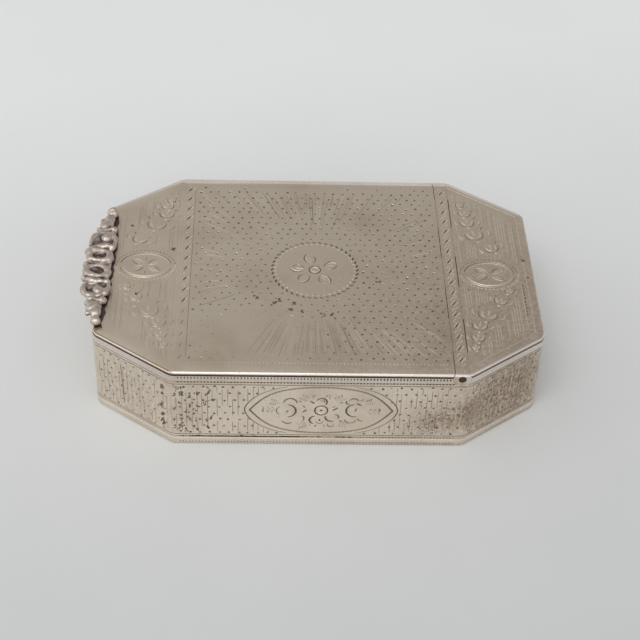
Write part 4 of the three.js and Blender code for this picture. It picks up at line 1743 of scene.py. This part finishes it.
class SNUFFBOX_OT_top_plates(bpy.types.Operator):
    """Model and engrave the lid and the fixed plate behind the hinge"""

    bl_idname = "snuffbox.top_plates"
    bl_label = "Lid and hinge end plate"

    # Soil and painted shade lie on the plates' edges from this far below their upper face
    SOIL_AND_SHADE_DEPTH = 0.4

    def execute(self, context):
        self.lid()
        self.end_plate()
        return {"FINISHED"}

    def blank(self, name, bottom, keep, owner):
        """A rounded plate cut off along the hinge and cleared for its channel."""
        plate = plate_block(name, bottom)
        round_rim(plate, bottom, size("lid_foot"))
        # Soil and painted shade on the plates' feet, and a painted dark reflection on one corner's upper edge
        paint_faces(plate, FINISHES["shade"], self.takes_soil_and_shade)
        edit(plate)
        cut_away(HINGE, Vector((-keep, 0, 0)))
        deselect()
        channel = hinge_channel(owner)
        channel.data.materials.append(FINISHES["silver"])
        boolean(plate, channel)
        return plate

    def takes_soil_and_shade(self, face):
        """Whether a face of a plate's edge is painted dark: its foot, soiled and in the painted shade of the gap
        under it, and one corner's upper edge, as a painted dark reflection.
        """
        x, y, z = face.normal
        in_foot = -0.99 < z < 0.3 and face.center.z < TOP - self.SOIL_AND_SHADE_DEPTH
        on_corner = 0.8 < z < LEVEL_FACE and x < -TURNED_FACE and y < -TURNED_FACE
        return in_foot or on_corner

    def lid(self):
        lid = self.blank("lid", LID_LOW.z, -1, "lid")
        paint_faces(lid, FINISHES["gilding"], lambda face: face.normal.z < -0.9)
        graver = Graver(on_top)
        rng = random.Random(5)
        medallion(graver)
        lid_borders(graver, rng)
        end_panel(graver, -1, rng)
        punched_field(graver, rng)
        sun_rays(graver, rng)
        worn_spots(graver, rng)
        rim_line(graver, *LID_LINE_ENDS)
        graver.cut_into(lid)
        finish_piece(lid, "lid_plate")

    def end_plate(self):
        plate = self.blank("fixed_plate", END_PLATE_BOTTOM, 1, "box")
        paint_faces(plate, FINISHES["gilding"], lambda face: face.normal.z < -0.9)
        graver = Graver(on_top)
        rng = random.Random(7)
        end_panel(graver, 1, rng)
        rim_line(graver, *PLATE_LINE_ENDS)
        front, back = BORDER_LINE_ENDS
        graver.stroke(straight(BORDER_LINE, front, BORDER_LINE, back, 20), 0.12, 0.6, "faint", 0.05)
        for i in range(BORDER_DASHES):
            y = BORDER_DASH_START + i * BORDER_DASH_PITCH
            graver.dash(BORDER_LINE, y, math.pi / 2, 0.6, 0.2, 0.9)
        for x, y in END_PITS:
            graver.pit(x, y, 0.26, rng)
        graver.cut_into(plate)
        finish_piece(plate, "hinge_end_plate")


class SNUFFBOX_OT_knuckles(bpy.types.Operator):
    """Model the hinge's knuckles, filed flat and engraved on top"""

    bl_idname = "snuffbox.knuckles"
    bl_label = "Hinge knuckles"

    # The rope band stops this far from the long sides, and one turn of it reaches this far along
    ROPE_END = 2.0
    TURN_REACH = 0.9

    def execute(self, context):
        for knuckle in KNUCKLES:
            self.knuckle(knuckle)
        return {"FINISHED"}

    def knuckle(self, node):
        low, high = node_box(node)
        spare = node_box(KNUCKLES[1])[0].y - node_box(KNUCKLES[0])[1].y - size("knuckle_gap")
        low.y -= 0 if node == KNUCKLES[0] else spare / 2
        high.y += 0 if node == KNUCKLES[-1] else spare / 2
        deselect()
        bpy.ops.mesh.primitive_cylinder_add(
            vertices=ROD_SIDES,
            radius=KNUCKLE_RADIUS,
            depth=high.y - low.y,
            location=(HINGE.x, (low.y + high.y) / 2, HINGE.z),
            rotation=(math.pi / 2, 0, 0),
        )
        knuckle = bpy.context.object
        knuckle.name = node.replace("knuckle", "hinge_knuckle")
        bpy.ops.object.transform_apply(location=True, rotation=True, scale=True)
        knuckle.data.materials.append(FINISHES["silver"])
        if node in (KNUCKLES[0], KNUCKLES[-1]):
            boolean(knuckle, plate_block("outside", 0), "INTERSECT")
        else:
            edit(knuckle)
            cut_away(Vector((0, 0, TOP)), Vector((0, 0, 1)))
            deselect()
        reach = PIN_RADIUS + size("pin_clearance")
        bore = stepped_rod("bore", [(low.y - 1, reach), (high.y + 1, reach)], BORE_SIDES)
        bore.data.materials.append(FINISHES["tarnish"])
        boolean(knuckle, bore)
        graver = Graver(on_top)
        pitch = size("rope_pitch")
        turns = int((HALF_WIDTH - self.ROPE_END) / pitch)
        for i in range(-turns, turns + 1):
            if low.y - self.TURN_REACH < i * pitch < high.y + self.TURN_REACH:
                rope_unit(graver, HINGE.x, i * pitch, random.Random(i))
        graver.cut_into(knuckle)
        finish_piece(knuckle, node)


class SNUFFBOX_OT_thumbpiece(bpy.types.Operator):
    """Build up the thumbpiece's scrollwork and fuse it into one casting"""

    bl_idname = "snuffbox.thumbpiece"
    bl_label = "Thumbpiece"

    VOXEL = 0.095
    # Lumps as (size, height, rounds of smoothing after them)
    LUMPS = ((1.5, 0.4, 14), (0.7, 0.2, 5))

    def execute(self, context):
        back = crescent("back", *BACK)
        forms = [back] + [cast_ball(*ball) for ball in MIDDLE_BALLS]
        for side in (-1, 1):
            forms.append(cast_ring(side * RING[0], *RING[1:]))
            forms += [cast_ball(side * along, *rest) for along, *rest in SIDE_BALLS]
            for wire in SIDE_WIRES:
                forms.append(cast_wire([(side * along, *rest) for along, *rest in wire]))
        deselect()
        for form in forms:
            form.select_set(True)
        context.view_layer.objects.active = forms[0]
        bpy.ops.object.join()
        casting = context.object
        casting.name = "scroll_thumbpiece"
        bpy.ops.object.transform_apply(location=True, rotation=True, scale=True)
        self.fuse(casting)
        casting.data.materials.clear()
        casting.data.materials.append(FINISHES["cast"])
        store_soil_and_shade(casting)
        self.add_shadow_seam(casting)
        finish_piece(casting, "thumbpiece", smooth_degrees=60)
        return {"FINISHED"}

    def add_shadow_seam(self, casting):
        """Add the film of dark solder and dirt along the casting's inner foot, which also serves as a painted
        shadow there.
        """
        shadow_seam = crescent("shadow_seam", *SHADOW_SEAM)
        soil_and_shade = shadow_seam.data.attributes.new("soil_and_shade", "FLOAT", "POINT")
        # The whole film is dark: solder, dirt and a painted shadow
        soil_and_shade.data.foreach_set("value", [1.0] * len(shadow_seam.data.vertices))
        shadow_seam.data.materials.append(FINISHES["cast"])
        activate(casting)
        shadow_seam.select_set(True)
        bpy.ops.object.join()

    def fuse(self, casting):
        remesh = casting.modifiers.new("Fuse", "REMESH")
        remesh.mode = "VOXEL"
        remesh.voxel_size = self.VOXEL
        for width, height, rounds in self.LUMPS:
            lumps = bpy.data.textures.new("lumps", "CLOUDS")
            lumps.noise_scale = width
            lumps.noise_depth = 0
            worn = casting.modifiers.new("Wear", "DISPLACE")
            worn.texture = lumps
            worn.texture_coords = "LOCAL"
            worn.strength = height
            smooth = casting.modifiers.new("Polish", "SMOOTH")
            smooth.factor = 0.5
            smooth.iterations = rounds
        for modifier in list(casting.modifiers):
            bpy.ops.object.modifier_apply(modifier=modifier.name)
        edit(casting)
        cut_away(Vector((0, 0, TOP)), Vector((0, 0, -1)))
        deselect()


class SNUFFBOX_OT_inner_metalwork(bpy.types.Operator):
    """Give the bezel, the bearers and the pin their finishes"""

    bl_idname = "snuffbox.inner_metalwork"
    bl_label = "Bezel, bearers and pin"

    def execute(self, context):
        finishes = {
            "lid_bezel": "gilding",
            "lid_hinge_bearer": "gilding",
            "box_hinge_bearer": "gilding",
            "hinge_pin": "pin",
        }
        for node, finish in finishes.items():
            mesh = frame["nodes"][node].data
            mesh.materials.clear()
            mesh.materials.append(FINISHES[finish])
        return {"FINISHED"}


class SNUFFBOX_PT_panel(bpy.types.Panel):
    """The snuff box's pieces and sizes"""

    bl_idname = "SNUFFBOX_PT_panel"
    bl_label = "Snuff Box"
    bl_space_type = "VIEW_3D"
    bl_region_type = "UI"
    bl_category = "Snuff Box"

    def draw(self, context):
        for operator in OPERATORS:
            self.layout.operator(operator.bl_idname)
        for group in (context.scene.snuff_box_sizes, context.scene.snuff_box_finish):
            box = self.layout.box()
            for name in group.__annotations__:
                box.prop(group, name)


OPERATORS = (
    SNUFFBOX_OT_stage,
    SNUFFBOX_OT_base_plate,
    SNUFFBOX_OT_side_wall,
    SNUFFBOX_OT_top_plates,
    SNUFFBOX_OT_knuckles,
    SNUFFBOX_OT_thumbpiece,
    SNUFFBOX_OT_inner_metalwork,
)
CLASSES = (SnuffBoxSizes, SnuffBoxFinish, *OPERATORS, SNUFFBOX_PT_panel)


def register():
    for cls in CLASSES:
        bpy.utils.register_class(cls)
    bpy.types.Scene.snuff_box_sizes = PointerProperty(type=SnuffBoxSizes)
    bpy.types.Scene.snuff_box_finish = PointerProperty(type=SnuffBoxFinish)


def unregister():
    del bpy.types.Scene.snuff_box_finish
    del bpy.types.Scene.snuff_box_sizes
    for cls in reversed(CLASSES):
        bpy.utils.unregister_class(cls)


def main():
    register()
    bpy.ops.snuffbox.stage()
    bpy.ops.snuffbox.base_plate()
    bpy.ops.snuffbox.side_wall()
    bpy.ops.snuffbox.top_plates()
    bpy.ops.snuffbox.knuckles()
    bpy.ops.snuffbox.thumbpiece()
    bpy.ops.snuffbox.inner_metalwork()


if __name__ == "__main__":
    main()
